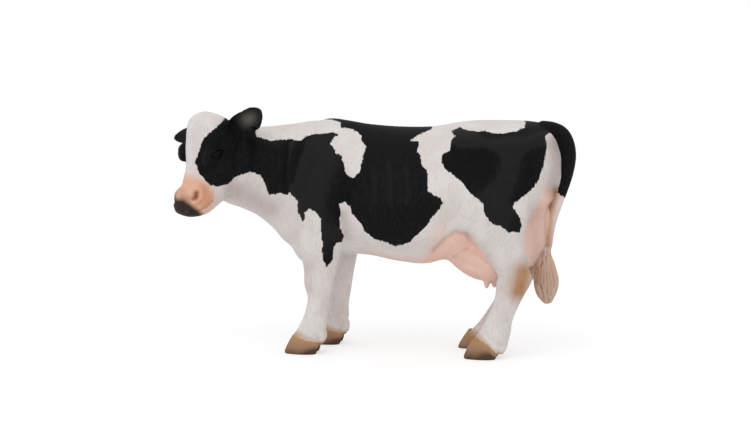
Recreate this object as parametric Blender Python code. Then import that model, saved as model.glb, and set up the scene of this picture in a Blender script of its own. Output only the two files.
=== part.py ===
"""Toy dairy cow figure, standing with its head turned to its left.

Twelve moulded pieces plug together: a hollow trunk in a left and a right shell, neck, head,
two ears, four legs, udder and tail. Metres, +Z up, the head towards -X, the cow's left
side towards -Y. The outer skin is lofted once and cut at planar seams, so the outline
runs on from piece to piece, and every seam keeps the same small gap.
"""

import math

import bmesh
import bpy
import numpy as np
from mathutils import Matrix, Vector

# Overall sizes of the figure
WITHERS_HEIGHT = 0.0776
BODY_LENGTH = 0.0920
BARREL_WIDTH = 0.0390

# Seams, walls and fits
SEAM_GAP = 0.0003
PEG_CLEARANCE = 0.0003
TRUNK_WALL = 0.0045
CUT_OVERRUN = 0.0020

# Head, face and ears
HEAD_LENGTH = 0.0314
HEAD_WIDTH = 0.0168
HEAD_DEPTH = 0.0213
BROW_RADIUS = 0.0030
EAR_LENGTH = 0.0125
EAR_WIDTH = 0.0094
EAR_THICKNESS = 0.0019
EAR_PEG_WIDTH = 0.0026
EAR_PEG_LENGTH = 0.0030
HEAD_TURN = math.radians(45)
HEAD_PITCH = math.radians(64)

# Neck
NECK_WIDTH = 0.0240
NECK_PEG_WIDTH = 0.0080
NECK_PEG_HEIGHT = 0.0160
NECK_PEG_LENGTH = 0.0060
POLL_PEG_WIDTH = 0.0060
POLL_PEG_HEIGHT = 0.0100
POLL_PEG_LENGTH = 0.0050

# Legs and hooves
FEET_SPREAD = 0.0184
FORELEG_DEPTH = 0.0106
FORELEG_WIDTH = 0.0084
FORELEG_STEP = 0.0049
FORELEG_SEAM_DROP = 0.0008
HIND_LEG_DEPTH = 0.0124
HIND_LEG_WIDTH = 0.0078
HIND_LEG_STEP = -0.0050
HIND_LEG_SEAM_DROP = 0.0061
LEG_PEG_DEPTH = 0.0050
LEG_PEG_WIDTH = 0.0036
LEG_PEG_LENGTH = 0.0070
HOOF_LENGTH = 0.0116
HOOF_WIDTH = 0.0106
HOOF_HEIGHT = 0.0068
HOOF_CLEFT = 0.0005
DEWCLAW_RADIUS = 0.0017

# Udder and teats
UDDER_WIDTH = 0.0206
TEAT_DIAMETER = 0.0030
TEAT_LENGTH = 0.0034
UDDER_PEG_WIDTH = 0.0050
UDDER_PEG_DEPTH = 0.0090
UDDER_PEG_LENGTH = 0.0035

# Tail and switch
TAIL_DIAMETER = 0.0058
TAIL_PEG_WIDTH = 0.0030
TAIL_PEG_LENGTH = 0.0040

# Pins that line up the two trunk shells
PIN_DIAMETER = 0.0030
PIN_LENGTH = 0.0030

# How finely the forms are faceted
TRUNK_SIDES = 24
NECK_SIDES = 22
HEAD_SIDES = 22
LEG_SIDES = 16
CLAW_SIDES = 16
EAR_SIDES = 12
TAIL_SIDES = 12
UDDER_SIDES = 20
TEAT_SIDES = 10
PIN_SIDES = 16
BROW_SEGMENTS = 12
BROW_RINGS = 8
DEWCLAW_SEGMENTS = 8
DEWCLAW_RINGS = 6
RINGS_PER_STATION = 2

# Colours of the painted plastic, linear
OFF_WHITE = (0.72, 0.68, 0.66, 1.0)
CHARCOAL = (0.018, 0.018, 0.019, 1.0)
UDDER_PINK = (0.70, 0.42, 0.33, 1.0)
PAINT_ROUGHNESS = 0.55

# Trunk stations from the chest to the rump. x is a share of BODY_LENGTH, the two heights
# are shares of WITHERS_HEIGHT, the half width is a share of BARREL_WIDTH, and the last two
# are where the section is widest, as a share of its height, and how square its back is.
TRUNK_STATION_SHARES = [
    (-0.510, 0.480, 0.700, 0.115, 0.45, 2.0),
    (-0.482, 0.405, 0.851, 0.205, 0.48, 2.0),
    (-0.435, 0.375, 0.954, 0.295, 0.50, 1.9),
    (-0.380, 0.385, 0.994, 0.359, 0.48, 1.8),
    (-0.304, 0.402, 0.992, 0.395, 0.46, 1.8),
    (-0.217, 0.412, 0.980, 0.436, 0.44, 1.9),
    (-0.109, 0.399, 0.973, 0.487, 0.43, 2.0),
    (0.000, 0.390, 0.976, 0.500, 0.44, 2.1),
    (0.098, 0.428, 0.994, 0.487, 0.48, 2.3),
    (0.185, 0.483, 1.004, 0.451, 0.55, 2.6),
    (0.261, 0.522, 1.005, 0.418, 0.60, 2.6),
    (0.337, 0.561, 1.007, 0.379, 0.62, 2.3),
    (0.402, 0.612, 0.998, 0.313, 0.62, 2.1),
    (0.446, 0.677, 0.960, 0.231, 0.60, 2.0),
    (0.474, 0.760, 0.876, 0.115, 0.50, 2.0),
]

# Hook bones, the hollows under and before them, thighs and shoulders, raised or sunk on both
# sides of the trunk: x as a share of BODY_LENGTH, height as a share of WITHERS_HEIGHT, radius
# as a share of BODY_LENGTH and rise as a share of BARREL_WIDTH
TRUNK_RELIEF_SHARES = [
    (0.134, 0.936, 0.050, 0.030),
    (0.300, 0.925, 0.050, 0.015),
    (0.189, 0.855, 0.068, -0.034),
    (0.068, 0.882, 0.058, -0.024),
    (0.282, 0.765, 0.070, 0.020),
    (-0.372, 0.823, 0.058, 0.018),
]
HOLLOW_START_SHARE = -0.20
HOLLOW_END_SHARE = 0.19
BELLY_SQUARENESS = 2.2

# Neck stations from inside the trunk to inside the head: x and height of the crest and of
# the throat line, as shares of BODY_LENGTH and WITHERS_HEIGHT, half width as a share of
# NECK_WIDTH, sideways shift as a share of BARREL_WIDTH, and share of HEAD_TURN reached.
NECK_STATION_SHARES = [
    (-0.340, 0.965, -0.400, 0.440, 0.46, 0.000, 0.0),
    (-0.413, 0.986, -0.511, 0.445, 0.50, 0.000, 0.0),
    (-0.489, 0.973, -0.570, 0.512, 0.44, 0.000, 0.1),
    (-0.565, 0.959, -0.628, 0.571, 0.39, 0.000, 0.2),
    (-0.641, 0.949, -0.687, 0.603, 0.36, 0.003, 0.4),
    (-0.715, 0.945, -0.743, 0.626, 0.34, -0.003, 0.7),
    (-0.765, 0.940, -0.775, 0.670, 0.30, -0.080, 0.9),
]
CREST_SQUARENESS = 1.8
THROAT_SQUARENESS = 2.0

# Where the neck leaves the trunk and where the head leaves the neck, as shares of
# BODY_LENGTH and WITHERS_HEIGHT
COLLAR_TOP_SHARES = (-0.402, 0.992)
COLLAR_FOOT_SHARES = (-0.543, 0.425)
POLL_SHARES = (-0.804, -0.154, 1.021)

# Head stations along the face from the poll to the lips: place along the face as a share
# of HEAD_LENGTH, half width as a share of HEAD_WIDTH, depth of the face line and of the
# jaw line behind the poll-to-nose line as shares of HEAD_DEPTH, and how square the face is.
HEAD_STATION_SHARES = [
    (-0.025, 0.27, 0.05, 0.35, 2.2),
    (0.010, 0.36, -0.03, 0.49, 2.4),
    (0.064, 0.44, -0.10, 0.63, 2.6),
    (0.143, 0.49, -0.14, 0.75, 3.0),
    (0.239, 0.47, -0.12, 0.84, 3.0),
    (0.341, 0.465, -0.075, 0.91, 2.8),
    (0.430, 0.50, -0.03, 0.97, 2.5),
    (0.525, 0.49, 0.02, 1.00, 2.3),
    (0.621, 0.44, 0.055, 0.985, 2.1),
    (0.710, 0.38, 0.075, 0.92, 2.0),
    (0.803, 0.335, 0.085, 0.82, 2.1),
    (0.898, 0.34, 0.03, 0.73, 2.3),
    (0.971, 0.33, 0.04, 0.64, 2.3),
    (1.035, 0.275, 0.10, 0.56, 2.2),
    (1.080, 0.18, 0.21, 0.46, 2.0),
]
JAW_SQUARENESS = 2.2
BROW_PLACE_SHARES = (0.42, 0.46, 0.10)
BROW_FORM_SHARES = (1.15, 0.80, 0.85)
THROAT_SEAM_SHARES = (0.38, 0.73)
THROAT_SEAM_TILT = math.radians(19)

# Each ear's root along, across and behind the face as shares of the head's sizes, and its
# direction as parts of sideways, forwards and up. Its stations follow: place along the
# ear, half width, half thickness and cup depth as shares of its own sizes.
LEFT_EAR_ROOT_SHARES = (0.00, 0.41, 0.37)
LEFT_EAR_AIM = (0.86, -0.18, 0.48)
RIGHT_EAR_ROOT_SHARES = (0.12, 0.42, 0.38)
RIGHT_EAR_AIM = (0.85, 0.47, -0.23)
EAR_STATION_SHARES = [
    (-0.25, 0.40, 0.60, 0.0),
    (0.00, 0.48, 0.55, 0.3),
    (0.25, 0.52, 0.50, 0.6),
    (0.50, 0.50, 0.45, 0.7),
    (0.75, 0.41, 0.40, 0.5),
    (0.92, 0.25, 0.34, 0.2),
    (1.00, 0.08, 0.25, 0.0),
]

# Leg stations from inside the trunk to inside the hooves: height as a share of
# WITHERS_HEIGHT, x of the middle as a share of BODY_LENGTH, depth and width as shares of
# the leg's own sizes, and sideways place as a share of half of FEET_SPREAD.
FORELEG_STATION_SHARES = [
    (0.840, -0.350, 1.30, 0.80, 0.85),
    (0.760, -0.357, 1.52, 1.15, 1.00),
    (0.670, -0.364, 1.65, 1.36, 1.10),
    (0.567, -0.367, 1.55, 1.38, 1.12),
    (0.464, -0.383, 1.42, 1.25, 1.08),
    (0.374, -0.386, 1.18, 1.08, 1.03),
    (0.329, -0.389, 1.00, 1.00, 1.01),
    (0.290, -0.391, 0.90, 0.93, 1.00),
    (0.238, -0.391, 0.69, 0.76, 1.00),
    (0.174, -0.403, 0.67, 0.74, 1.00),
    (0.122, -0.413, 0.81, 0.88, 1.00),
    (0.077, -0.426, 0.91, 1.02, 1.00),
    (0.045, -0.430, 0.83, 1.00, 1.00),
    (0.019, -0.430, 0.70, 0.83, 1.00),
]
HIND_LEG_STATION_SHARES = [
    (0.900, 0.315, 1.45, 1.20, 0.60),
    (0.830, 0.296, 1.75, 1.60, 0.75),
    (0.745, 0.265, 1.95, 1.75, 0.90),
    (0.650, 0.253, 1.88, 1.68, 1.00),
    (0.545, 0.258, 1.52, 1.45, 1.06),
    (0.477, 0.280, 1.13, 1.26, 1.04),
    (0.419, 0.298, 0.98, 1.12, 1.02),
    (0.361, 0.323, 0.94, 1.00, 1.00),
    (0.329, 0.318, 0.94, 0.95, 1.00),
    (0.284, 0.303, 0.76, 0.85, 1.00),
    (0.232, 0.290, 0.71, 0.82, 1.00),
    (0.168, 0.267, 0.74, 0.84, 1.00),
    (0.116, 0.252, 0.85, 0.97, 1.00),
    (0.077, 0.237, 0.97, 1.10, 1.00),
    (0.045, 0.228, 0.97, 1.05, 1.00),
    (0.019, 0.218, 0.73, 0.90, 1.00),
]
LEG_SQUARENESS = 2.2
FORE_HOOF_MIDDLE_SHARE = -0.451
HIND_HOOF_MIDDLE_SHARE = 0.201
FORE_DEWCLAW_SHARES = (-0.381, 0.066, 0.18)
HIND_DEWCLAW_SHARES = (0.276, 0.046, 0.18)
FORELEG_BELLY_SHARE = -0.386
HIND_LEG_BELLY_SHARE = 0.277
STEP_TOP_SHARE = 0.60
FORELEG_STEP_POWER = 0.5
HIND_LEG_STEP_POWER = 3.0
DEWCLAW_FORM_SHARES = (0.85, 0.80, 1.20)

# A claw's rings from the sole up: height at the toe and at the heel as shares of
# HOOF_HEIGHT, and where its toe and heel are as shares of HOOF_LENGTH from the middle.
CLAW_RING_SHARES = [
    (0.00, 0.00, -0.49, 0.44),
    (0.15, 0.12, -0.50, 0.47),
    (0.60, 0.38, -0.36, 0.50),
    (1.00, 0.62, -0.22, 0.50),
]
CLAW_WIDTH_SHARES = (0.92, 1.00, 0.98, 0.86)
CLAW_TOE_TAPER_SHARE = 0.35

# Udder stations from front to back: x as a share of BODY_LENGTH, the two heights as
# shares of WITHERS_HEIGHT, half width as a share of UDDER_WIDTH
UDDER_STATION_SHARES = [
    (0.045, 0.425, 0.515, 0.12),
    (0.087, 0.388, 0.545, 0.34),
    (0.141, 0.345, 0.560, 0.46),
    (0.196, 0.322, 0.575, 0.50),
    (0.250, 0.316, 0.590, 0.49),
    (0.304, 0.335, 0.605, 0.46),
    (0.356, 0.362, 0.625, 0.41),
    (0.397, 0.425, 0.640, 0.29),
    (0.415, 0.500, 0.640, 0.14),
]
UDDER_SQUARENESS = 2.1
TEAT_PLACE_SHARES = [(0.215, -0.21), (0.215, 0.21), (0.262, -0.15), (0.262, 0.15)]
TEAT_TOP_SHARE = 0.345
TEAT_TIP_WIDTH_SHARE = 0.62
UDDER_PEG_PLACE_SHARES = (0.250, 0.520)

# Tail stations from its root over the arch and down to the end of the switch: x as a share
# of BODY_LENGTH, height as a share of WITHERS_HEIGHT, and half depth and half width as
# shares of TAIL_DIAMETER
TAIL_STATION_SHARES = [
    (0.395, 0.976, 0.44, 0.46),
    (0.440, 0.972, 0.47, 0.48),
    (0.474, 0.953, 0.49, 0.49),
    (0.495, 0.912, 0.50, 0.48),
    (0.503, 0.855, 0.49, 0.46),
    (0.498, 0.785, 0.43, 0.42),
    (0.482, 0.715, 0.37, 0.38),
    (0.461, 0.650, 0.32, 0.34),
    (0.440, 0.570, 0.28, 0.31),
    (0.429, 0.480, 0.25, 0.30),
    (0.421, 0.430, 0.34, 0.36),
    (0.422, 0.370, 0.58, 0.46),
    (0.423, 0.320, 0.68, 0.50),
    (0.424, 0.270, 0.52, 0.42),
    (0.430, 0.225, 0.20, 0.20),
]
TAIL_PEG_PLACE_SHARES = (0.425, 0.962)

# Pins between the trunk shells, as shares of BODY_LENGTH and WITHERS_HEIGHT
PIN_PLACE_SHARES = [(-0.28, 0.86), (-0.27, 0.52), (0.27, 0.86), (0.31, 0.70)]

# A cutter reaches this many body lengths, which clears the whole figure
CUTTER_REACH_SHARE = 3.0


def place(x_share, y_share, z_share):
    """A point from shares of the body length, the barrel width and the withers height."""
    return Vector((x_share * BODY_LENGTH, y_share * BARREL_WIDTH, z_share * WITHERS_HEIGHT))


def smoothed(stations, per_station=RINGS_PER_STATION):
    """Stations with rings added between them on one smooth curve through each column."""
    table = np.array(stations, dtype=float)
    ends = np.vstack([2 * table[0] - table[1], table, 2 * table[-1] - table[-2]])
    rows = []
    for i in range(1, len(ends) - 2):
        before, start, stop, after = ends[i - 1 : i + 3]
        for step in range(per_station):
            t = step / per_station
            rows.append(
                start
                + t * (stop - before) / 2
                + t * t * (2 * before - 5 * start + 4 * stop - after) / 2
                + t**3 * (3 * start - before - 3 * stop + after) / 2
            )
    rows.append(table[-1])
    return np.array(rows)


def egg_section(sides, half_width, rise, drop, top_power, low_power):
    """Sideways and upward offsets of a closed section: two half superellipses."""
    angle = np.linspace(0, 2 * math.pi, sides, endpoint=False)
    sine = np.sin(angle)
    cosine = np.cos(angle)
    power = np.where(cosine >= 0, 2 / top_power, 2 / low_power)
    height = np.where(cosine >= 0, rise, drop)
    sideways = half_width * np.sign(sine) * np.abs(sine) ** power
    upwards = height * np.sign(cosine) * np.abs(cosine) ** power
    return sideways, upwards


def ring(centre, side_axis, up_axis, section):
    """The points of a section laid on two axes round a centre."""
    sideways, upwards = section
    return [centre + side_axis * float(s) + up_axis * float(u) for s, u in zip(sideways, upwards)]


def new_object(name, mesh_maker):
    """A mesh object whose faces all point outwards."""
    shape = bmesh.new()
    mesh_maker(shape)
    bmesh.ops.recalc_face_normals(shape, faces=shape.faces[:])
    mesh = bpy.data.meshes.new(name)
    shape.to_mesh(mesh)
    shape.free()
    obj = bpy.data.objects.new(name, mesh)
    bpy.context.scene.collection.objects.link(obj)
    return obj


def loft(name, rings):
    """A closed solid through a list of rings with equal numbers of points."""

    def fill(shape):
        loops = [[shape.verts.new(point) for point in points] for points in rings]
        sides = len(loops[0])
        for low, high in zip(loops, loops[1:]):
            for i in range(sides):
                j = (i + 1) % sides
                shape.faces.new((low[i], low[j], high[j], high[i]))
        shape.faces.new(loops[0][::-1])
        shape.faces.new(loops[-1])

    return new_object(name, fill)


def block(name, centre, size, axes=None):
    """A box of the given size, turned so that its X, Y and Z follow three axes."""
    turn = Matrix(axes).transposed() if axes else Matrix.Identity(3)
    matrix = Matrix.Translation(centre) @ turn.to_4x4() @ Matrix.Diagonal((*size, 1.0))
    return new_object(name, lambda shape: bmesh.ops.create_cube(shape, size=1.0, matrix=matrix))


def boolean(target, tool, operation):
    """Joins, cuts or keeps a shape with a tool, and takes the tool out of the scene."""
    modifier = target.modifiers.new(operation.title(), "BOOLEAN")
    modifier.operation = operation
    modifier.solver = "EXACT"
    modifier.object = tool
    bpy.context.view_layer.update()
    evaluated = target.evaluated_get(bpy.context.evaluated_depsgraph_get())
    mesh = bpy.data.meshes.new_from_object(evaluated)
    target.modifiers.remove(modifier)
    target.data = mesh
    mesh.name = target.name
    bpy.data.objects.remove(tool, do_unlink=True)
    return target


def copy_of(source, name):
    """A separate copy of a solid under its own name."""
    twin = bpy.data.objects.new(name, source.data.copy())
    bpy.context.scene.collection.objects.link(twin)
    return twin


def keep_beyond(target, point, normal):
    """Keeps the part of a solid on the side of a plane that its normal points to."""
    reach = CUTTER_REACH_SHARE * BODY_LENGTH
    upright = normal.normalized()
    side = upright.orthogonal().normalized()
    axes = (side, upright.cross(side), upright)
    tool = block("half_space", point + upright * (reach / 2), (reach, reach, reach), axes)
    return boolean(target, tool, "INTERSECT")


def peg(name, foot, axis, side, sizes, clearance=0.0):
    """A rectangular peg along an axis, sunk by the overrun into the piece it grows from.

    sizes are its two widths and its length. With a clearance it is the cutter of its socket.
    """
    width, thickness, length = sizes
    axes = (side, axis.cross(side), axis)
    total = length + clearance + CUT_OVERRUN
    centre = foot + axis * (total / 2 - CUT_OVERRUN)
    return block(name, centre, (width + 2 * clearance, thickness + 2 * clearance, total), axes)


def with_relief(point, centre):
    """A point of the trunk moved away from its section's centre by the swellings near it."""
    rise = 0.0
    for x_share, z_share, radius_share, rise_share in TRUNK_RELIEF_SHARES:
        spot = place(x_share, 0, z_share)
        distance = math.hypot(point.x - spot.x, point.z - spot.z)
        rise += rise_share * BARREL_WIDTH * math.exp(-((distance / (radius_share * BODY_LENGTH)) ** 2))
    outwards = (point - centre).normalized()
    return point + outwards * (rise * abs(outwards.y))


def trunk_rings(grow=0.0, start=-math.inf, end=math.inf):
    """Upright sections of the trunk between two shares of its length, grown or shrunk evenly."""
    rings = []
    for x, low, high, half, widest, square in smoothed(TRUNK_STATION_SHARES):
        if not start < x < end:
            continue
        drop = widest * (high - low) * WITHERS_HEIGHT
        rise = (1 - widest) * (high - low) * WITHERS_HEIGHT
        centre = place(x, 0, low + widest * (high - low))
        section = egg_section(
            TRUNK_SIDES, half * BARREL_WIDTH + grow, rise + grow, drop + grow, square, BELLY_SQUARENESS
        )
        points = ring(centre, Vector((0, -1, 0)), Vector((0, 0, 1)), section)
        rings.append([with_relief(point, centre) for point in points])
    ends = Vector((max(grow, 0.0), 0, 0))
    rings[0] = [point - ends for point in rings[0]]
    rings[-1] = [point + ends for point in rings[-1]]
    return rings


def neck_rings(grow=0.0):
    """Sections of the neck, square to its sides, from inside the trunk to inside the head."""
    rings = []
    for crest_x, crest_z, throat_x, throat_z, half, shift, turn in smoothed(NECK_STATION_SHARES):
        crest = place(crest_x, shift, crest_z)
        throat = place(throat_x, shift, throat_z)
        upright = (crest - throat).normalized()
        reach = (crest - throat).length / 2
        angle = turn * HEAD_TURN
        side = Vector((math.sin(angle), -math.cos(angle), 0))
        section = egg_section(
            NECK_SIDES, half * NECK_WIDTH + grow, reach + grow, reach + grow,
            CREST_SQUARENESS, THROAT_SQUARENESS,
        )
        rings.append(ring((crest + throat) / 2, side, upright, section))
    return rings


def head_axes():
    """Unit vectors along the face, out of the face and to the head's left."""
    facing = Vector((-math.cos(HEAD_TURN), -math.sin(HEAD_TURN), 0))
    up = Vector((0, 0, 1))
    along = facing * math.cos(HEAD_PITCH) - up * math.sin(HEAD_PITCH)
    outwards = facing * math.sin(HEAD_PITCH) + up * math.cos(HEAD_PITCH)
    side = Vector((math.sin(HEAD_TURN), -math.cos(HEAD_TURN), 0))
    return along, outwards, side


def head_point(along_share, side_share, depth_share):
    """A point of the head from shares of its length, width and depth."""
    along, outwards, side = head_axes()
    return (
        place(*POLL_SHARES)
        + along * (along_share * HEAD_LENGTH)
        + side * (side_share * HEAD_WIDTH)
        - outwards * (depth_share * HEAD_DEPTH)
    )


def head_rings(grow=0.0):
    """Sections of the head from the poll to the lips."""
    along, outwards, side = head_axes()
    rings = []
    for s, half, front, back, square in smoothed(HEAD_STATION_SHARES):
        reach = (back - front) * HEAD_DEPTH / 2
        section = egg_section(
            HEAD_SIDES, half * HEAD_WIDTH + grow, reach + grow, reach + grow, square, JAW_SQUARENESS
        )
        rings.append(ring(head_point(s, 0, (front + back) / 2), side, outwards, section))
    rings[0] = [point - along * grow for point in rings[0]]
    return rings


def brow(name, side_sign):
    """The swelling over an eye: a flattened ball on the side of the face."""
    along, outwards, side = head_axes()
    s, lateral, depth = BROW_PLACE_SHARES
    turn = Matrix((along, side, outwards)).transposed().to_4x4()
    size = Matrix.Diagonal((*BROW_FORM_SHARES, 1.0))
    matrix = Matrix.Translation(head_point(s, side_sign * lateral, depth)) @ turn @ size
    return new_object(
        name,
        lambda shape: bmesh.ops.create_uvsphere(
            shape, u_segments=BROW_SEGMENTS, v_segments=BROW_RINGS, radius=BROW_RADIUS, matrix=matrix
        ),
    )


class Leg:
    """One leg: its station table, its own sizes and where its foot stands."""

    def __init__(self, name, side, stations, depth, width, seam, step, step_power, hoof, dewclaw):
        self.name = name
        self.side = side
        self.stations = stations
        self.depth = depth
        self.width = width
        self.seam = seam
        self.step = step if side > 0 else 0.0
        self.step_power = step_power
        self.hoof = hoof
        self.dewclaw = dewclaw

    def stride(self, height):
        """How far the leg is stepped at a height: all at the ground, nothing at the top."""
        top = STEP_TOP_SHARE * WITHERS_HEIGHT
        return self.step * max(0.0, 1 - height / top) ** self.step_power

    def middle(self, x_share, spread_share, height):
        """The middle of the leg at a height."""
        across = self.side * spread_share * FEET_SPREAD / 2
        return Vector((x_share * BODY_LENGTH + self.stride(height), across, height))

    def rings(self, grow=0.0):
        """Level sections of the leg from inside the trunk down to inside the hoof."""
        rings = []
        for height_share, x, depth, width, spread in smoothed(self.stations):
            half_depth = depth * self.depth / 2 + grow
            half_width = width * self.width / 2 + grow
            section = egg_section(
                LEG_SIDES, half_width, half_depth, half_depth, LEG_SQUARENESS, LEG_SQUARENESS
            )
            centre = self.middle(x, spread, height_share * WITHERS_HEIGHT)
            rings.append(ring(centre, Vector((0, 1, 0)), Vector((-1, 0, 0)), section))
        return rings

    def seam_middle(self):
        """The middle of the leg at its seam."""
        table = np.array(self.stations)[::-1]
        share = self.seam / WITHERS_HEIGHT
        x = float(np.interp(share, table[:, 0], table[:, 1]))
        spread = float(np.interp(share, table[:, 0], table[:, 4]))
        return self.middle(x, spread, self.seam)

    def tenon(self, clearance=0.0):
        """The peg that goes up into the trunk, or the cutter of its socket."""
        foot = self.seam_middle() + Vector((0, 0, -SEAM_GAP / 2))
        sizes = (LEG_PEG_DEPTH, LEG_PEG_WIDTH, LEG_PEG_LENGTH)
        return peg(self.name + "_peg", foot, Vector((0, 0, 1)), Vector((1, 0, 0)), sizes, clearance)

    def claw(self, name, inner):
        """Half a cloven hoof: tilted rings from the flat sole up to the coronet."""
        claw_width = (HOOF_WIDTH - HOOF_CLEFT) / 2
        across = self.side * FEET_SPREAD / 2 + inner * (claw_width + HOOF_CLEFT) / 2
        middle = self.middle(self.hoof, 0, 0).x
        angle = np.linspace(0, 2 * math.pi, CLAW_SIDES, endpoint=False)
        rings = []
        for (toe_up, heel_up, toe, heel), width in zip(CLAW_RING_SHARES, CLAW_WIDTH_SHARES):
            run = (1 + np.cos(angle)) / 2
            x = middle + HOOF_LENGTH * (toe + (heel - toe) * run)
            taper = 1 - CLAW_TOE_TAPER_SHARE * (1 - run) ** 2
            y = across + claw_width / 2 * width * np.sin(angle) * taper
            z = HOOF_HEIGHT * (toe_up + (heel_up - toe_up) * run)
            rings.append([Vector(point) for point in zip(x, y, z)])
        return loft(name, rings)

    def dewclaw_form(self, inner):
        """A small false claw behind the fetlock: a ball drawn out downwards."""
        x_share, height_share, across_share = self.dewclaw
        centre = self.middle(x_share, 1, height_share * WITHERS_HEIGHT)
        centre.y += inner * across_share * HOOF_WIDTH
        matrix = Matrix.Translation(centre) @ Matrix.Diagonal((*DEWCLAW_FORM_SHARES, 1.0))
        return new_object(
            "dewclaw",
            lambda shape: bmesh.ops.create_uvsphere(
                shape, u_segments=DEWCLAW_SEGMENTS, v_segments=DEWCLAW_RINGS,
                radius=DEWCLAW_RADIUS, matrix=matrix,
            ),
        )

    def upper(self):
        """The leg above its seam, which is moulded on the trunk."""
        solid = loft(self.name + "_upper", self.rings())
        return keep_beyond(solid, Vector((0, 0, self.seam + SEAM_GAP / 2)), Vector((0, 0, 1)))

    def build(self):
        """The separate leg below its seam, with its hoof and its tenon."""
        solid = loft(self.name, self.rings())
        keep_beyond(solid, Vector((0, 0, self.seam - SEAM_GAP / 2)), Vector((0, 0, -1)))
        for inner in (-1, 1):
            boolean(solid, self.claw("claw", inner), "UNION")
            boolean(solid, self.dewclaw_form(inner), "UNION")
        return boolean(solid, self.tenon(), "UNION")


def belly_height(x_share):
    """Height of the belly line at a share of the body length."""
    table = np.array(TRUNK_STATION_SHARES)
    return float(np.interp(x_share, table[:, 0], table[:, 1])) * WITHERS_HEIGHT


def make_legs():
    """The four legs, left side at -Y, each cut off its own drop below the belly."""
    fore_seam = belly_height(FORELEG_BELLY_SHARE) - FORELEG_SEAM_DROP
    hind_seam = belly_height(HIND_LEG_BELLY_SHARE) - HIND_LEG_SEAM_DROP
    legs = []
    for side, word in ((-1, "left"), (1, "right")):
        legs.append(
            Leg(
                word + "_foreleg", side, FORELEG_STATION_SHARES, FORELEG_DEPTH, FORELEG_WIDTH,
                fore_seam, FORELEG_STEP, FORELEG_STEP_POWER,
                FORE_HOOF_MIDDLE_SHARE, FORE_DEWCLAW_SHARES,
            )
        )
        legs.append(
            Leg(
                word + "_hind_leg", side, HIND_LEG_STATION_SHARES, HIND_LEG_DEPTH, HIND_LEG_WIDTH,
                hind_seam, HIND_LEG_STEP, HIND_LEG_STEP_POWER,
                HIND_HOOF_MIDDLE_SHARE, HIND_DEWCLAW_SHARES,
            )
        )
    return legs


def make_skin(legs):
    """The whole outer form above the leg seams, as one solid to be cut at the seams."""
    skin = loft("skin", trunk_rings())
    boolean(skin, loft("neck_form", neck_rings()), "UNION")
    boolean(skin, loft("head_form", head_rings()), "UNION")
    for side_sign in (-1, 1):
        boolean(skin, brow("brow", side_sign), "UNION")
    for leg in legs:
        boolean(skin, leg.upper(), "UNION")
    return skin


def collar_plane():
    """A point on the seam between trunk and neck, its forward normal and its up direction."""
    top = place(COLLAR_TOP_SHARES[0], 0, COLLAR_TOP_SHARES[1])
    foot = place(COLLAR_FOOT_SHARES[0], 0, COLLAR_FOOT_SHARES[1])
    upright = (top - foot).normalized()
    forward = Vector((0, -1, 0)).cross(upright).normalized()
    return (top + foot) / 2, forward, upright


def throat_plane():
    """A point on the seam between neck and head, its forward normal and its up direction."""
    along, outwards, side = head_axes()
    forward = outwards * math.cos(THROAT_SEAM_TILT) + along * math.sin(THROAT_SEAM_TILT)
    return head_point(THROAT_SEAM_SHARES[0], 0, THROAT_SEAM_SHARES[1]), forward, side.cross(forward)


def collar_peg(clearance=0.0):
    """The neck's peg into the trunk, or the cutter of its socket."""
    point, forward, upright = collar_plane()
    sizes = (NECK_PEG_HEIGHT, NECK_PEG_WIDTH, NECK_PEG_LENGTH)
    return peg("collar_peg", point + forward * (SEAM_GAP / 2), -forward, upright, sizes, clearance)


def poll_peg(clearance=0.0):
    """The neck's peg into the head, or the cutter of its socket."""
    point, forward, upright = throat_plane()
    sizes = (POLL_PEG_HEIGHT, POLL_PEG_WIDTH, POLL_PEG_LENGTH)
    return peg("poll_peg", point - forward * (SEAM_GAP / 2), forward, upright, sizes, clearance)


def make_neck(skin):
    """The neck between its two seams, with a peg at each end."""
    neck = copy_of(skin, "neck")
    point, forward, _ = collar_plane()
    keep_beyond(neck, point + forward * (SEAM_GAP / 2), forward)
    point, forward, _ = throat_plane()
    keep_beyond(neck, point - forward * (SEAM_GAP / 2), -forward)
    boolean(neck, collar_peg(), "UNION")
    return boolean(neck, poll_peg(), "UNION")


def ear_axes(side_sign):
    """Root of an ear, its direction, its broad side and the side its cup faces."""
    _, _, side = head_axes()
    facing = Vector((-math.cos(HEAD_TURN), -math.sin(HEAD_TURN), 0))
    lateral, forwards, upwards = LEFT_EAR_AIM if side_sign > 0 else RIGHT_EAR_AIM
    axis = side * (side_sign * lateral) + facing * forwards + Vector((0, 0, upwards))
    axis.normalize()
    broad = axis.cross(facing + side * side_sign).normalized()
    s, across, depth = LEFT_EAR_ROOT_SHARES if side_sign > 0 else RIGHT_EAR_ROOT_SHARES
    return head_point(s, side_sign * across, depth), axis, broad, broad.cross(axis)


def ear_peg(side_sign, clearance=0.0):
    """The peg of an ear into the head, or the cutter of its socket."""
    root, axis, broad, _ = ear_axes(side_sign)
    sizes = (EAR_PEG_WIDTH, EAR_PEG_WIDTH, EAR_PEG_LENGTH)
    return peg("ear_peg", root + axis * CUT_OVERRUN, -axis, broad, sizes, clearance)


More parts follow.
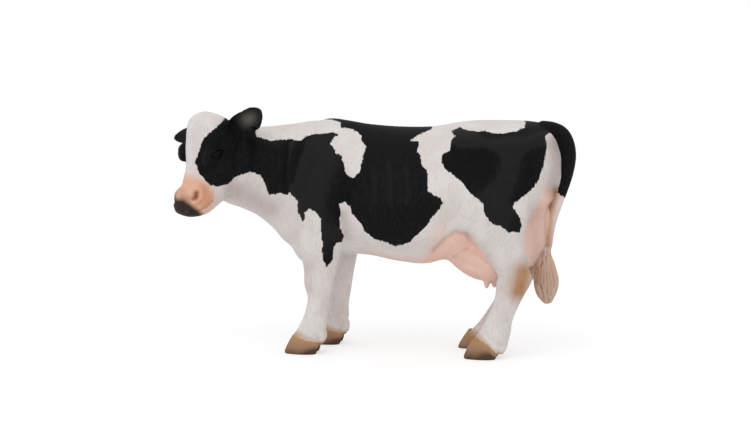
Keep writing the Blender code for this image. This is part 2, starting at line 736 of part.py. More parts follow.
def make_ear(name, side_sign):
    """A cupped leaf that rises from the side of the poll, with its peg."""
    root, axis, broad, cup = ear_axes(side_sign)
    rings = []
    for s, half, thick, hollow in smoothed(EAR_STATION_SHARES):
        sideways, upwards = egg_section(
            EAR_SIDES, half * EAR_WIDTH, thick * EAR_THICKNESS, thick * EAR_THICKNESS, 2, 2
        )
        curl = hollow * EAR_THICKNESS * (sideways / (half * EAR_WIDTH)) ** 2
        rings.append(ring(root + axis * (s * EAR_LENGTH), broad, cup, (sideways, upwards + curl)))
    ear = loft(name, rings)
    boolean(ear, loft("grown_head", head_rings(SEAM_GAP)), "DIFFERENCE")
    boolean(ear, loft("grown_neck", neck_rings(SEAM_GAP)), "DIFFERENCE")
    return boolean(ear, ear_peg(side_sign), "UNION")


def make_head(skin):
    """The head in front of the throat seam, with sockets for the neck and the ears."""
    head = copy_of(skin, "head")
    point, forward, _ = throat_plane()
    keep_beyond(head, point + forward * (SEAM_GAP / 2), forward)
    boolean(head, poll_peg(PEG_CLEARANCE), "DIFFERENCE")
    boolean(head, ear_peg(1, PEG_CLEARANCE), "DIFFERENCE")
    return boolean(head, ear_peg(-1, PEG_CLEARANCE), "DIFFERENCE")


def udder_peg(clearance=0.0):
    """The udder's peg up into the trunk, or the cutter of its socket."""
    foot = place(UDDER_PEG_PLACE_SHARES[0], 0, UDDER_PEG_PLACE_SHARES[1])
    sizes = (UDDER_PEG_DEPTH, UDDER_PEG_WIDTH, UDDER_PEG_LENGTH)
    return peg("udder_peg", foot, Vector((0, 0, 1)), Vector((1, 0, 0)), sizes, clearance)


def make_teat(x_share, across_share):
    """One teat: a short cone that hangs from the bag."""
    top = place(x_share, 0, TEAT_TOP_SHARE) + Vector((0, across_share * UDDER_WIDTH, 0))
    length = TEAT_LENGTH + CUT_OVERRUN
    middle = top - Vector((0, 0, length / 2 - CUT_OVERRUN))
    return new_object(
        "teat",
        lambda shape: bmesh.ops.create_cone(
            shape, cap_ends=True, segments=TEAT_SIDES, radius1=TEAT_DIAMETER / 2 * TEAT_TIP_WIDTH_SHARE,
            radius2=TEAT_DIAMETER / 2, depth=length, matrix=Matrix.Translation(middle),
        ),
    )


def make_udder(legs):
    """The bag between the hind legs, cut clear of trunk and legs, with teats and a peg."""
    rings = []
    for x, low, high, half in smoothed(UDDER_STATION_SHARES):
        reach = (high - low) * WITHERS_HEIGHT / 2
        section = egg_section(
            UDDER_SIDES, half * UDDER_WIDTH, reach, reach, UDDER_SQUARENESS, UDDER_SQUARENESS
        )
        centre = place(x, 0, (low + high) / 2)
        rings.append(ring(centre, Vector((0, -1, 0)), Vector((0, 0, 1)), section))
    udder = loft("udder", rings)
    for x_share, across_share in TEAT_PLACE_SHARES:
        boolean(udder, make_teat(x_share, across_share), "UNION")
    boolean(udder, loft("grown_trunk", trunk_rings(SEAM_GAP)), "DIFFERENCE")
    for leg in legs:
        if leg.stations is HIND_LEG_STATION_SHARES:
            boolean(udder, loft("grown_leg", leg.rings(SEAM_GAP)), "DIFFERENCE")
    return boolean(udder, udder_peg(), "UNION")


def tail_peg(clearance=0.0):
    """The tail's peg forward into the rump, or the cutter of its socket."""
    foot = place(TAIL_PEG_PLACE_SHARES[0], 0, TAIL_PEG_PLACE_SHARES[1])
    sizes = (TAIL_PEG_WIDTH, TAIL_PEG_WIDTH, TAIL_PEG_LENGTH)
    return peg("tail_peg", foot, Vector((-1, 0, 0)), Vector((0, 1, 0)), sizes, clearance)


def make_tail():
    """The tail over its arch and down to the switch, cut clear of the rump, with its peg."""
    table = smoothed(TAIL_STATION_SHARES)
    middles = [place(x, 0, z) for x, z, _, _ in table]
    rings = []
    for i, (_, _, depth, width) in enumerate(table):
        before = middles[max(i - 1, 0)]
        after = middles[min(i + 1, len(middles) - 1)]
        run = (after - before).normalized()
        outwards = Vector((0, 1, 0)).cross(run)
        section = egg_section(
            TAIL_SIDES, width * TAIL_DIAMETER, depth * TAIL_DIAMETER, depth * TAIL_DIAMETER, 2, 2
        )
        rings.append(ring(middles[i], Vector((0, 1, 0)), outwards, section))
    tail = loft("tail", rings)
    boolean(tail, loft("grown_trunk", trunk_rings(SEAM_GAP)), "DIFFERENCE")
    return boolean(tail, tail_peg(), "UNION")


def make_pin(x_share, z_share, clearance=0.0):
    """A round pin across the split between the trunk shells, or the cutter of its socket."""
    length = PIN_LENGTH + clearance + CUT_OVERRUN
    centre = place(x_share, 0, z_share) + Vector((0, length / 2 - CUT_OVERRUN, 0))
    turn = Matrix.Rotation(math.radians(90), 4, "X")
    return new_object(
        "pin",
        lambda shape: bmesh.ops.create_cone(
            shape, cap_ends=True, segments=PIN_SIDES, radius1=PIN_DIAMETER / 2 + clearance,
            radius2=PIN_DIAMETER / 2 + clearance, depth=length, matrix=Matrix.Translation(centre) @ turn,
        ),
    )


def hollow_form():
    """The room inside the barrel, one wall in from the skin."""
    return loft("hollow", trunk_rings(-TRUNK_WALL, HOLLOW_START_SHARE, HOLLOW_END_SHARE))


def make_trunk_shell(name, skin, side, legs):
    """Half of the trunk: hollow at the barrel, solid at shoulders and hips, with its sockets."""
    shell = copy_of(skin, name)
    point, forward, _ = collar_plane()
    keep_beyond(shell, point - forward * (SEAM_GAP / 2), -forward)
    keep_beyond(shell, Vector((0, side * SEAM_GAP / 2, 0)), Vector((0, side, 0)))
    tools = [hollow_form(), collar_peg(PEG_CLEARANCE), udder_peg(PEG_CLEARANCE), tail_peg(PEG_CLEARANCE)]
    tools += [leg.tenon(PEG_CLEARANCE) for leg in legs if leg.side == side]
    if side > 0:
        tools += [make_pin(x, z, PEG_CLEARANCE) for x, z in PIN_PLACE_SHARES]
    for tool in tools:
        boolean(shell, tool, "DIFFERENCE")
    if side < 0:
        for x, z in PIN_PLACE_SHARES:
            boolean(shell, make_pin(x, z), "UNION")
    return shell


def painted(obj, colour):
    """Gives a piece its own painted plastic material."""
    material = bpy.data.materials.new(obj.name + "_paint")
    material.use_nodes = True
    surface = material.node_tree.nodes["Principled BSDF"]
    surface.inputs["Base Color"].default_value = colour
    surface.inputs["Roughness"].default_value = PAINT_ROUGHNESS
    surface.inputs["Metallic"].default_value = 0.0
    obj.data.materials.clear()
    obj.data.materials.append(material)


def stand_on_origin(pieces):
    """Hangs the pieces on one empty that puts the middle of their box over the origin."""
    points = np.array([vertex.co for piece in pieces for vertex in piece.data.vertices])
    low = points.min(axis=0)
    high = points.max(axis=0)
    figure = bpy.data.objects.new("figure", None)
    bpy.context.scene.collection.objects.link(figure)
    figure.location = (-(low[0] + high[0]) / 2, -(low[1] + high[1]) / 2, -low[2])
    for piece in pieces:
        piece.parent = figure


def main():
    """Builds the figure."""
    for obj in list(bpy.data.objects):
        bpy.data.objects.remove(obj, do_unlink=True)
    legs = make_legs()
    skin = make_skin(legs)
    pieces = {
        "trunk_left_shell": make_trunk_shell("trunk_left_shell", skin, -1, legs),
        "trunk_right_shell": make_trunk_shell("trunk_right_shell", skin, 1, legs),
        "neck": make_neck(skin),
        "head": make_head(skin),
        "left_ear": make_ear("left_ear", 1),
        "right_ear": make_ear("right_ear", -1),
        "udder": make_udder(legs),
        "tail": make_tail(),
    }
    for leg in legs:
        pieces[leg.name] = leg.build()
    bpy.data.objects.remove(skin, do_unlink=True)
    colours = {"udder": UDDER_PINK, "left_ear": CHARCOAL, "right_ear": CHARCOAL}
    for name, piece in pieces.items():
        painted(piece, colours.get(name, OFF_WHITE))
    stand_on_origin(pieces.values())


main()
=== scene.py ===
"""Looks of the toy dairy cow: one moulded and hand-painted skin, parted along the real seams.

The forms are worked out in millimetres in the figure's own frame: head towards -X, the cow's
left side towards -Y, +Z up, and x = 0 at the middle of the barrel. They are grown together
into one even skin, softened, carved, painted and then parted into twelve closed pieces.
"""

import logging
import math
from dataclasses import dataclass, field
from enum import Enum

import bpy
import numpy as np
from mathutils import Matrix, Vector


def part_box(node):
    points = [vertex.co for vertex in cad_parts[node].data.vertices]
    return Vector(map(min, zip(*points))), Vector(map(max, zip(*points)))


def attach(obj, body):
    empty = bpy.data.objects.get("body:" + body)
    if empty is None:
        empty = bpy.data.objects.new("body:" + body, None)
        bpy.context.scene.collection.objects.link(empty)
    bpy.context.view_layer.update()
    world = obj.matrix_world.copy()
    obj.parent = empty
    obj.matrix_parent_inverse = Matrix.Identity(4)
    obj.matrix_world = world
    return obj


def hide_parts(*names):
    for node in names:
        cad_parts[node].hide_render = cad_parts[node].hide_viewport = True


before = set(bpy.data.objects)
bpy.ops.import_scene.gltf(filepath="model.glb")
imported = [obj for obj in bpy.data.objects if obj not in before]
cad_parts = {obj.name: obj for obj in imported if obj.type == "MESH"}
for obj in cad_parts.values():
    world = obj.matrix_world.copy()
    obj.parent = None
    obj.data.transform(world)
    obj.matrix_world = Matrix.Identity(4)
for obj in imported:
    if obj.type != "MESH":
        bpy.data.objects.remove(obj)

log = logging.getLogger("cow")

Array = np.ndarray
Amount = Array | float
Row = tuple[float, ...]
Rows = tuple[Row, ...]
Triple = tuple[float, float, float]

MM = 0.001
INF = math.inf
Y_AXIS, Z_AXIS = np.eye(3)[1:]
# Of the solids, in mm: the head's and the neck's sideways places are shares of it
BARREL_WIDTH = 39.0


class Side(Enum):
    """Side of the cow, as the sign of y."""

    LEFT = -1
    RIGHT = 1


class Label(Enum):
    """Which moulded piece a part of the skin belongs to."""

    TRUNK_LEFT = "trunk_left_shell"
    TRUNK_RIGHT = "trunk_right_shell"
    NECK = "neck"
    HEAD = "head"
    LEFT_EAR = "left_ear"
    RIGHT_EAR = "right_ear"
    UDDER = "udder"
    TAIL = "tail"
    LEFT_FORELEG = "left_foreleg"
    RIGHT_FORELEG = "right_foreleg"
    LEFT_HIND_LEG = "left_hind_leg"
    RIGHT_HIND_LEG = "right_hind_leg"


LABELS = list(Label)
NUMBER = {label: number for number, label in enumerate(LABELS)}
TRUNK = (Label.TRUNK_LEFT, Label.TRUNK_RIGHT)
BODY = (*TRUNK, Label.NECK)
EARS = (Label.LEFT_EAR, Label.RIGHT_EAR)
LEGS = (Label.LEFT_FORELEG, Label.RIGHT_FORELEG, Label.LEFT_HIND_LEG, Label.RIGHT_HIND_LEG)
LEAVES = (*EARS, *LEGS, Label.UDDER, Label.TAIL)


# Working with grids, lines and meshes


def rows_through(stations: Rows, per_station: int = 8) -> Array:
    """Rows added between stations on the Catmull-Rom cubic of t through each column.

    It passes through each station, with half the difference of its two neighbours as slope.

    Args:
        stations: the table, one station a row.
        per_station: rows made for each step from station to station.

    Returns:
        The finer table.
    """
    table = np.array(stations, dtype=float)
    ends = np.vstack([2 * table[0] - table[1], table, 2 * table[-1] - table[-2]])
    count = len(ends) - 3
    before, start, stop, after = (ends[i : i + count, None, :] for i in range(4))
    t = np.linspace(0, 1, per_station, endpoint=False)[None, :, None]
    rows = (
        start
        + t * (stop - before) / 2
        + t**2 * (2 * before - 5 * start + 4 * stop - after) / 2
        + t**3 * (3 * start - before - 3 * stop + after) / 2
    )
    return np.vstack([rows.reshape(-1, table.shape[1]), table[-1]])


def egg(sides: int, half: Array, rise: Array, drop: Array, top: Amount, low: Amount) -> tuple[Array, Array]:
    """Sideways and upward offsets of closed sections made of two half superellipses.

    At angle a they are half |sin a|^(2/p) and rise or drop |cos a|^(2/p), with the signs of
    the sine and the cosine.

    Args:
        sides: points round a section.
        half: half widths, one a section.
        rise: heights above the middle.
        drop: depths below it.
        top: p of the upper halves.
        low: p of the lower halves.

    Returns:
        Two arrays, one row a section.
    """
    half, rise, drop, top, low = (np.atleast_1d(v)[:, None] for v in (half, rise, drop, top, low))
    angle = np.linspace(0, 2 * math.pi, sides, endpoint=False)[None, :]
    sine, cosine = np.sin(angle), np.cos(angle)
    power = np.where(cosine >= 0, 2 / top, 2 / low)
    height = np.where(cosine >= 0, rise, drop)
    return half * np.sign(sine) * np.abs(sine) ** power, height * np.sign(cosine) * np.abs(cosine) ** power


@dataclass
class Shell:
    """A closed surface of triangles."""

    points: Array
    triangles: Array


def tube(grid: Array) -> Shell:
    """A closed tube from rings by points round, each end closed by a fan to the ring's middle."""
    rings, sides, _ = grid.shape
    index = np.arange(rings * sides).reshape(rings, sides)
    turned = np.roll(index, -1, axis=1)
    low = np.stack([index[:-1], turned[:-1], turned[1:]], -1).reshape(-1, 3)
    high = np.stack([index[:-1], turned[1:], index[1:]], -1).reshape(-1, 3)
    first = np.full(sides, rings * sides)
    start = np.stack([turned[0], index[0], first], -1)
    stop = np.stack([index[-1], turned[-1], first + 1], -1)
    points = np.vstack([grid.reshape(-1, 3), grid[0].mean(0), grid[-1].mean(0)])
    return Shell(points, np.vstack([low, high, start, stop]))


def loft(centres: Array, side: Array, up: Array, section: tuple[Array, Array]) -> Shell:
    """A closed tube of sections laid round their centres: centre + side u + up v.

    Args:
        centres: one point a section.
        side: one unit vector a section, or one for all.
        up: the same for the upward direction.
        section: sideways and upward offsets.

    Returns:
        The tube.
    """
    side, up = (np.broadcast_to(axis, centres.shape)[:, None, :] for axis in (side, up))
    return tube(centres[:, None, :] + side * section[0][..., None] + up * section[1][..., None])


def ball(centre: Array, axes: Array, radii: Triple, sides: int = 32) -> Shell:
    """A closed ball drawn out along three axes: centre + radii (sin a cos b, sin a sin b, cos a).

    Args:
        centre: its middle.
        axes: three unit vectors, one a row.
        radii: half sizes along them.
        sides: points round, and half as many rings.

    Returns:
        The closed surface.
    """
    down = np.linspace(0, math.pi, sides // 2 + 2)[1:-1, None]
    round_ = np.linspace(0, 2 * math.pi, sides, endpoint=False)[None, :]
    flat = np.sin(down)
    unit = np.stack([flat * np.cos(round_), flat * np.sin(round_), np.cos(down) * np.ones_like(round_)], -1)
    return tube(centre + (unit * np.array(radii)) @ axes)


def soft_step(low: float, high: float, value: Array) -> Array:
    """0 below low, 1 above high, and the smooth cubic 3t^2 - 2t^3 between."""
    t = np.clip((value - low) / (high - low), 0, 1)
    return t * t * (3 - 2 * t)


def within(points: Array, space: tuple[Triple, Triple]) -> Array:
    """True for points inside a box, given by its least and greatest corner."""
    return ((points > space[0]) & (points < space[1])).all(axis=1)


def lengths(vectors: Array) -> Array:
    """Length of each row, kept as a column."""
    return np.linalg.norm(vectors, axis=1, keepdims=True)


def line_distance(points: Array, corners: Array) -> Array:
    """Distance of flat points to a broken line: the least over its parts of |p - a - t(b - a)|."""
    if len(corners) == 1:
        return np.linalg.norm(points - corners[0], axis=1)
    best = np.full(len(points), np.inf)
    for a, b in zip(corners[:-1], corners[1:]):
        along = b - a
        t = np.clip((points - a) @ along / max(along @ along, 1e-12), 0, 1)
        best = np.minimum(best, np.linalg.norm(points - a - t[:, None] * along, axis=1))
    return best


def patch_depth(points: Array, *outlines: Row | Array) -> Array:
    """How deep flat points lie inside the deepest of some outlines, less than zero outside.

    The size is the distance to the outline, and the sign comes from how many of its sides a
    ray to the left of the point crosses.

    Args:
        points: flat points, one a row.
        outlines: x and y of the corners of each, in turn.

    Returns:
        One depth a point.
    """
    depths = []
    for outline in outlines:
        corners = np.reshape(outline, (-1, 2)).astype(float)
        inside = np.zeros(len(points), dtype=bool)
        for (ax, ay), (bx, by) in zip(corners, np.roll(corners, -1, axis=0)):
            if ay != by:
                spans = (points[:, 1] < ay) != (points[:, 1] < by)
                inside ^= spans & (points[:, 0] > ax + (points[:, 1] - ay) * (bx - ax) / (by - ay))
        distance = line_distance(points, np.vstack([corners, corners[:1]]))
        depths.append(np.where(inside, distance, -distance))
    return np.max(depths, axis=0)


@dataclass(frozen=True)
class PhotoView:
    """The distant camera of the photograph: how a point of the figure falls in its frame."""

    azimuth: float = math.radians(9.0)
    elevation: float = math.radians(9.5)
    mm_per_pixel: float = 0.332
    zero: tuple[float, float] = (430.0, 351.0)
    frame_size: tuple[int, int] = (750, 440)
    distance: float = 1600.0

    def towards(self) -> Array:
        """The unit vector from the figure to the camera."""
        level = math.cos(self.elevation)
        across, away = math.sin(self.azimuth) * level, -math.cos(self.azimuth) * level
        return np.array([across, away, math.sin(self.elevation)])

    def pixels(self, points: Array) -> Array:
        """Where points fall: across = x cos A + y sin A, up = z cos E + (y cos A - x sin A) sin E."""
        x, y, z = points.T
        across = x * math.cos(self.azimuth) + y * math.sin(self.azimuth)
        away = y * math.cos(self.azimuth) - x * math.sin(self.azimuth)
        up = z * math.cos(self.elevation) + away * math.sin(self.elevation)
        return np.stack([self.zero[0] + across / self.mm_per_pixel, self.zero[1] - up / self.mm_per_pixel], 1)

    def target(self) -> Array:
        """The point of the figure's middle plane that falls in the middle of the frame."""
        right = (self.frame_size[0] / 2 - self.zero[0]) * self.mm_per_pixel
        up = (self.zero[1] - self.frame_size[1] / 2) * self.mm_per_pixel
        x = right / math.cos(self.azimuth)
        z = (up + x * math.sin(self.azimuth) * math.sin(self.elevation)) / math.cos(self.elevation)
        return np.array([x, 0.0, z])


VIEW = PhotoView()


# The moulded forms


@dataclass
class Trunk:
    """Chest, barrel and rump, as upright sections along the body."""

    length: float = 92.0
    height: float = 77.6
    width: float = 38.9
    sides: int = 96
    belly_power: float = 2.2
    past_end: float = 9.0
    # x, low, high, half width, widest height and back power
    stations: Rows = (
        (-0.51, 0.464, 0.7, 0.115, 0.45, 2), (-0.482, 0.385, 0.851, 0.205, 0.48, 2),
        (-0.435, 0.362, 0.954, 0.295, 0.5, 1.9), (-0.38, 0.385, 0.993, 0.359, 0.48, 1.8),
        (-0.304, 0.412, 0.99, 0.395, 0.46, 1.8), (-0.217, 0.415, 0.976, 0.436, 0.44, 1.9),
        (-0.109, 0.393, 0.968, 0.487, 0.43, 2), (0, 0.386, 0.971, 0.5, 0.44, 2.1),
        (0.098, 0.431, 0.989, 0.487, 0.48, 2.3), (0.185, 0.483, 1, 0.451, 0.55, 2.6),
        (0.261, 0.522, 1.001, 0.418, 0.6, 2.6), (0.337, 0.561, 1.003, 0.379, 0.62, 2.3),
        (0.402, 0.612, 0.994, 0.313, 0.62, 2.1), (0.446, 0.677, 0.957, 0.231, 0.6, 2),
        (0.474, 0.76, 0.876, 0.115, 0.5, 2),
    )
    collar_top: tuple[float, float] = (-0.402, 0.992)
    collar_foot: tuple[float, float] = (-0.543, 0.425)

    def at(self, x: Amount, z: Amount, y: Amount = 0.0) -> Array:
        """Points from shares of the body's length and height, and y in mm."""
        return np.stack(np.broadcast_arrays(x * self.length, y, z * self.height), -1)

    def rows(self) -> Array:
        """The stations' values for each ring, in mm."""
        return rows_through(self.stations) * [self.length, self.height, self.height, self.width, 1, 1]

    def shells(self) -> list[Shell]:
        """The closed body."""
        x, low, high, half, widest, power = self.rows().T
        middle = low + widest * (high - low)
        section = egg(self.sides, half, high - middle, middle - low, power, self.belly_power)
        return [loft(np.stack([x, 0 * x, middle], 1), -Y_AXIS, Z_AXIS, section)]

    def reach(self, points: Array) -> Array:
        """1 on the skin, less inside: (|y / half|^p + |(z - middle) / height|^p)^(1/p) at x."""
        rows = self.rows()
        x, y, z = points.T
        low, high, half, widest, power = (np.interp(x, rows[:, 0], column) for column in rows.T[1:])
        middle = low + widest * (high - low)
        above = z >= middle
        height = np.where(above, high - middle, middle - low)
        power = np.where(above, power, self.belly_power)
        value = (np.abs(y / half) ** power + np.abs((z - middle) / height) ** power) ** (1 / power)
        return value + np.maximum(np.maximum(rows[0, 0] - x, x - rows[-1, 0]), 0) * self.past_end

    def collar(self) -> tuple[Array, Array]:
        """A point on the seam between trunk and neck, and its forward normal."""
        top, foot = self.at(*self.collar_top), self.at(*self.collar_foot)
        return (top + foot) / 2, np.cross(-Y_AXIS, (top - foot) / np.linalg.norm(top - foot))


@dataclass
class Head:
    """The head in its own frame: along the face, to its left and out of the face."""

    trunk: Trunk
    turn: float = math.radians(45)
    pitch: float = math.radians(64)
    length: float = 31.4
    width: float = 16.8
    depth: float = 21.3
    sides: int = 88
    jaw_power: float = 2.2
    poll: Triple = (-0.804, -0.154, 1.021)
    # along the face, half width, front and back behind the face, and face power
    stations: Rows = (
        (-0.025, 0.25, 0.05, 0.35, 2.2), (0.01, 0.34, -0.03, 0.49, 2.4), (0.064, 0.44, -0.1, 0.63, 2.6),
        (0.143, 0.49, -0.14, 0.75, 3), (0.239, 0.47, -0.12, 0.84, 3), (0.341, 0.465, -0.075, 0.91, 2.8),
        (0.43, 0.5, -0.03, 0.97, 2.5), (0.525, 0.49, 0.02, 1, 2.3), (0.621, 0.44, 0.055, 0.985, 2.1),
        (0.71, 0.38, 0.075, 0.92, 2), (0.803, 0.335, 0.095, 0.82, 2.1), (0.898, 0.34, 0.055, 0.73, 2.3),
        (0.971, 0.335, 0.075, 0.65, 2.3), (1.03, 0.3, 0.105, 0.54, 2.2), (1.072, 0.24, 0.13, 0.43, 2.1),
        (1.096, 0.15, 0.19, 0.34, 2),
    )
    crown_lean: float = -0.6
    crown_reach: float = 0.15
    throat_seam: tuple[float, float] = (0.38, 0.73)
    throat_tilt: float = math.radians(19)
    brow_place: Triple = (13.9, 7.3, 2.4)
    brow_radii: Triple = (3.6, 2.4, 2.6)

    def facing(self) -> Array:
        """The level unit vector that the head looks along."""
        return np.array([-math.cos(self.turn), -math.sin(self.turn), 0])

    def axes(self) -> Array:
        """Unit vectors along the face, to the head's left and out of the face, one a row."""
        level, up = self.facing(), Z_AXIS
        along = level * math.cos(self.pitch) - up * math.sin(self.pitch)
        outwards = level * math.sin(self.pitch) + up * math.cos(self.pitch)
        return np.array([along, [math.sin(self.turn), -math.cos(self.turn), 0], outwards])

    def zero(self) -> Array:
        """The poll, where all three coordinates of the head are zero."""
        x, y, z = self.poll
        return self.trunk.at(x, z, y * BARREL_WIDTH)

    def place(self, along: Amount, left: Amount, deep: Amount) -> Array:
        """Points from mm along the face, to its left and behind its front."""
        return self.zero() + np.stack(np.broadcast_arrays(along, left, -deep), -1) @ self.axes()

    def local(self, points: Array) -> Array:
        """mm along the face, to its left and behind its front, of each point."""
        return (points - self.zero()) @ self.axes().T * [1, 1, -1]

    def shells(self) -> list[Shell]:
        """Skull, muzzle and the swellings over the eyes."""
        s, half, front, back, power = rows_through(self.stations).T
        reach = (back - front) * self.depth / 2
        lean = self.crown_lean * np.clip(1 - s / self.crown_reach, 0, 1)
        centres = self.place(s * self.length, lean, (front + back) / 2 * self.depth)
        section = egg(self.sides, half * self.width, reach, reach, power, self.jaw_power)
        along, across, deep = self.brow_place
        return [loft(centres, *self.axes()[1:], section)] + [
            ball(self.place(along, sign * across, deep), self.axes(), self.brow_radii) for sign in (-1, 1)
        ]

    def throat(self) -> tuple[Array, Array]:
        """A point on the seam between neck and head, and its forward normal."""
        along, _, outwards = self.axes()
        point = self.place(self.throat_seam[0] * self.length, 0, self.throat_seam[1] * self.depth)
        return point, outwards * math.cos(self.throat_tilt) + along * math.sin(self.throat_tilt)


@dataclass
class Neck:
    """The neck, which turns from the trunk's direction to the head's."""

    trunk: Trunk
    head: Head
    width: float = 24.0
    sides: int = 88
    crest_power: float = 1.8
    throat_power: float = 2.0
    # x and z of the crest, x and z of the throat, half width, y, and share of the head's turn
    stations: Rows = (
        (-0.34, 0.965, -0.4, 0.44, 0.46, 0, 0), (-0.413, 0.986, -0.511, 0.445, 0.5, 0, 0),
        (-0.489, 0.973, -0.57, 0.512, 0.44, 0, 0.1), (-0.565, 0.961, -0.628, 0.567, 0.39, 0, 0.2),
        (-0.641, 0.953, -0.687, 0.598, 0.36, 0.003, 0.4), (-0.715, 0.948, -0.743, 0.619, 0.34, -0.003, 0.7),
        (-0.765, 0.94, -0.775, 0.662, 0.3, -0.08, 0.9),
    )

    def shells(self) -> list[Shell]:
        """The closed neck, from inside the trunk to inside the head."""
        crest_x, crest_z, throat_x, throat_z, half, y, turn = rows_through(self.stations).T
        crest = self.trunk.at(crest_x, crest_z, y * BARREL_WIDTH)
        throat = self.trunk.at(throat_x, throat_z, y * BARREL_WIDTH)
        reach = lengths(crest - throat) / 2
        angle = turn * self.head.turn
        side = np.stack([np.sin(angle), -np.cos(angle), 0 * angle], 1)
        high = reach[:, 0]
        section = egg(self.sides, half * self.width, high, high, self.crest_power, self.throat_power)
        return [loft((crest + throat) / 2, side, (crest - throat) / (2 * reach), section)]


@dataclass
class Ear:
    """A cupped leaf that rises from the side of the poll."""

    label: Label
    head: Head
    sign: int
    root: Triple
    aim: Triple
    length: float = 12.5
    width: float = 9.4
    taper: float = 0.0
    glow: float = 0.55
    lean: float = 0.6
    bow: float = 0.9
    thickness: float = 2.0
    sides: int = 48
    # along the ear, half width, half thickness and cup
    stations: Rows = (
        (-0.25, 0.32, 0.6, 0), (0, 0.42, 0.52, 0.5), (0.25, 0.49, 0.44, 0.9), (0.5, 0.49, 0.38, 1),
        (0.75, 0.42, 0.33, 0.8), (0.92, 0.27, 0.28, 0.4), (1, 0.1, 0.22, 0.2),
    )
    space: tuple[Triple, Triple] = ((1.0, -5.2, -2.6), (14, 5.2, 4.4))

    def axes(self) -> Array:
        """Unit vectors along the ear, across it and out of its cup, one a row."""
        side, facing = self.head.axes()[1], self.head.facing()
        lateral, forwards, upwards = self.aim
        along = side * (self.sign * lateral) + facing * forwards + Z_AXIS * upwards
        along /= np.linalg.norm(along)
        broad = np.cross(along, facing + side * self.sign)
        broad /= np.linalg.norm(broad)
        return np.array([along, broad, np.cross(broad, along)])

    def foot(self) -> Array:
        """Where the ear leaves the head."""
        head, (along, across, deep) = self.head, self.root
        return head.place(along * head.length, self.sign * across * head.width, deep * head.depth)

    def local(self, points: Array) -> Array:
        """mm along the ear, across it and out of its cup, of each point."""
        return (points - self.foot()) @ self.axes().T

    def shells(self) -> list[Shell]:
        """The closed ear: flat ovals whose edges curl up by cup (u / half)^2."""
        s, half, thick, cup = rows_through(self.stations).T
        run = np.clip(s, 0, 1)
        half = half * (1 - self.taper * run**2) * self.width
        along, broad, outwards = self.axes()
        across, out = egg(self.sides, half, thick * self.thickness, thick * self.thickness, 2, 2)
        curl = cup[:, None] * self.thickness * (across / half[:, None]) ** 2
        bow = self.sign * (self.lean * (2 - run) + self.bow * np.sin(math.pi * run))
        centres = self.foot() + (s * self.length)[:, None] * along + bow[:, None] * broad
        return [loft(centres, broad, outwards, (across, out + curl))]


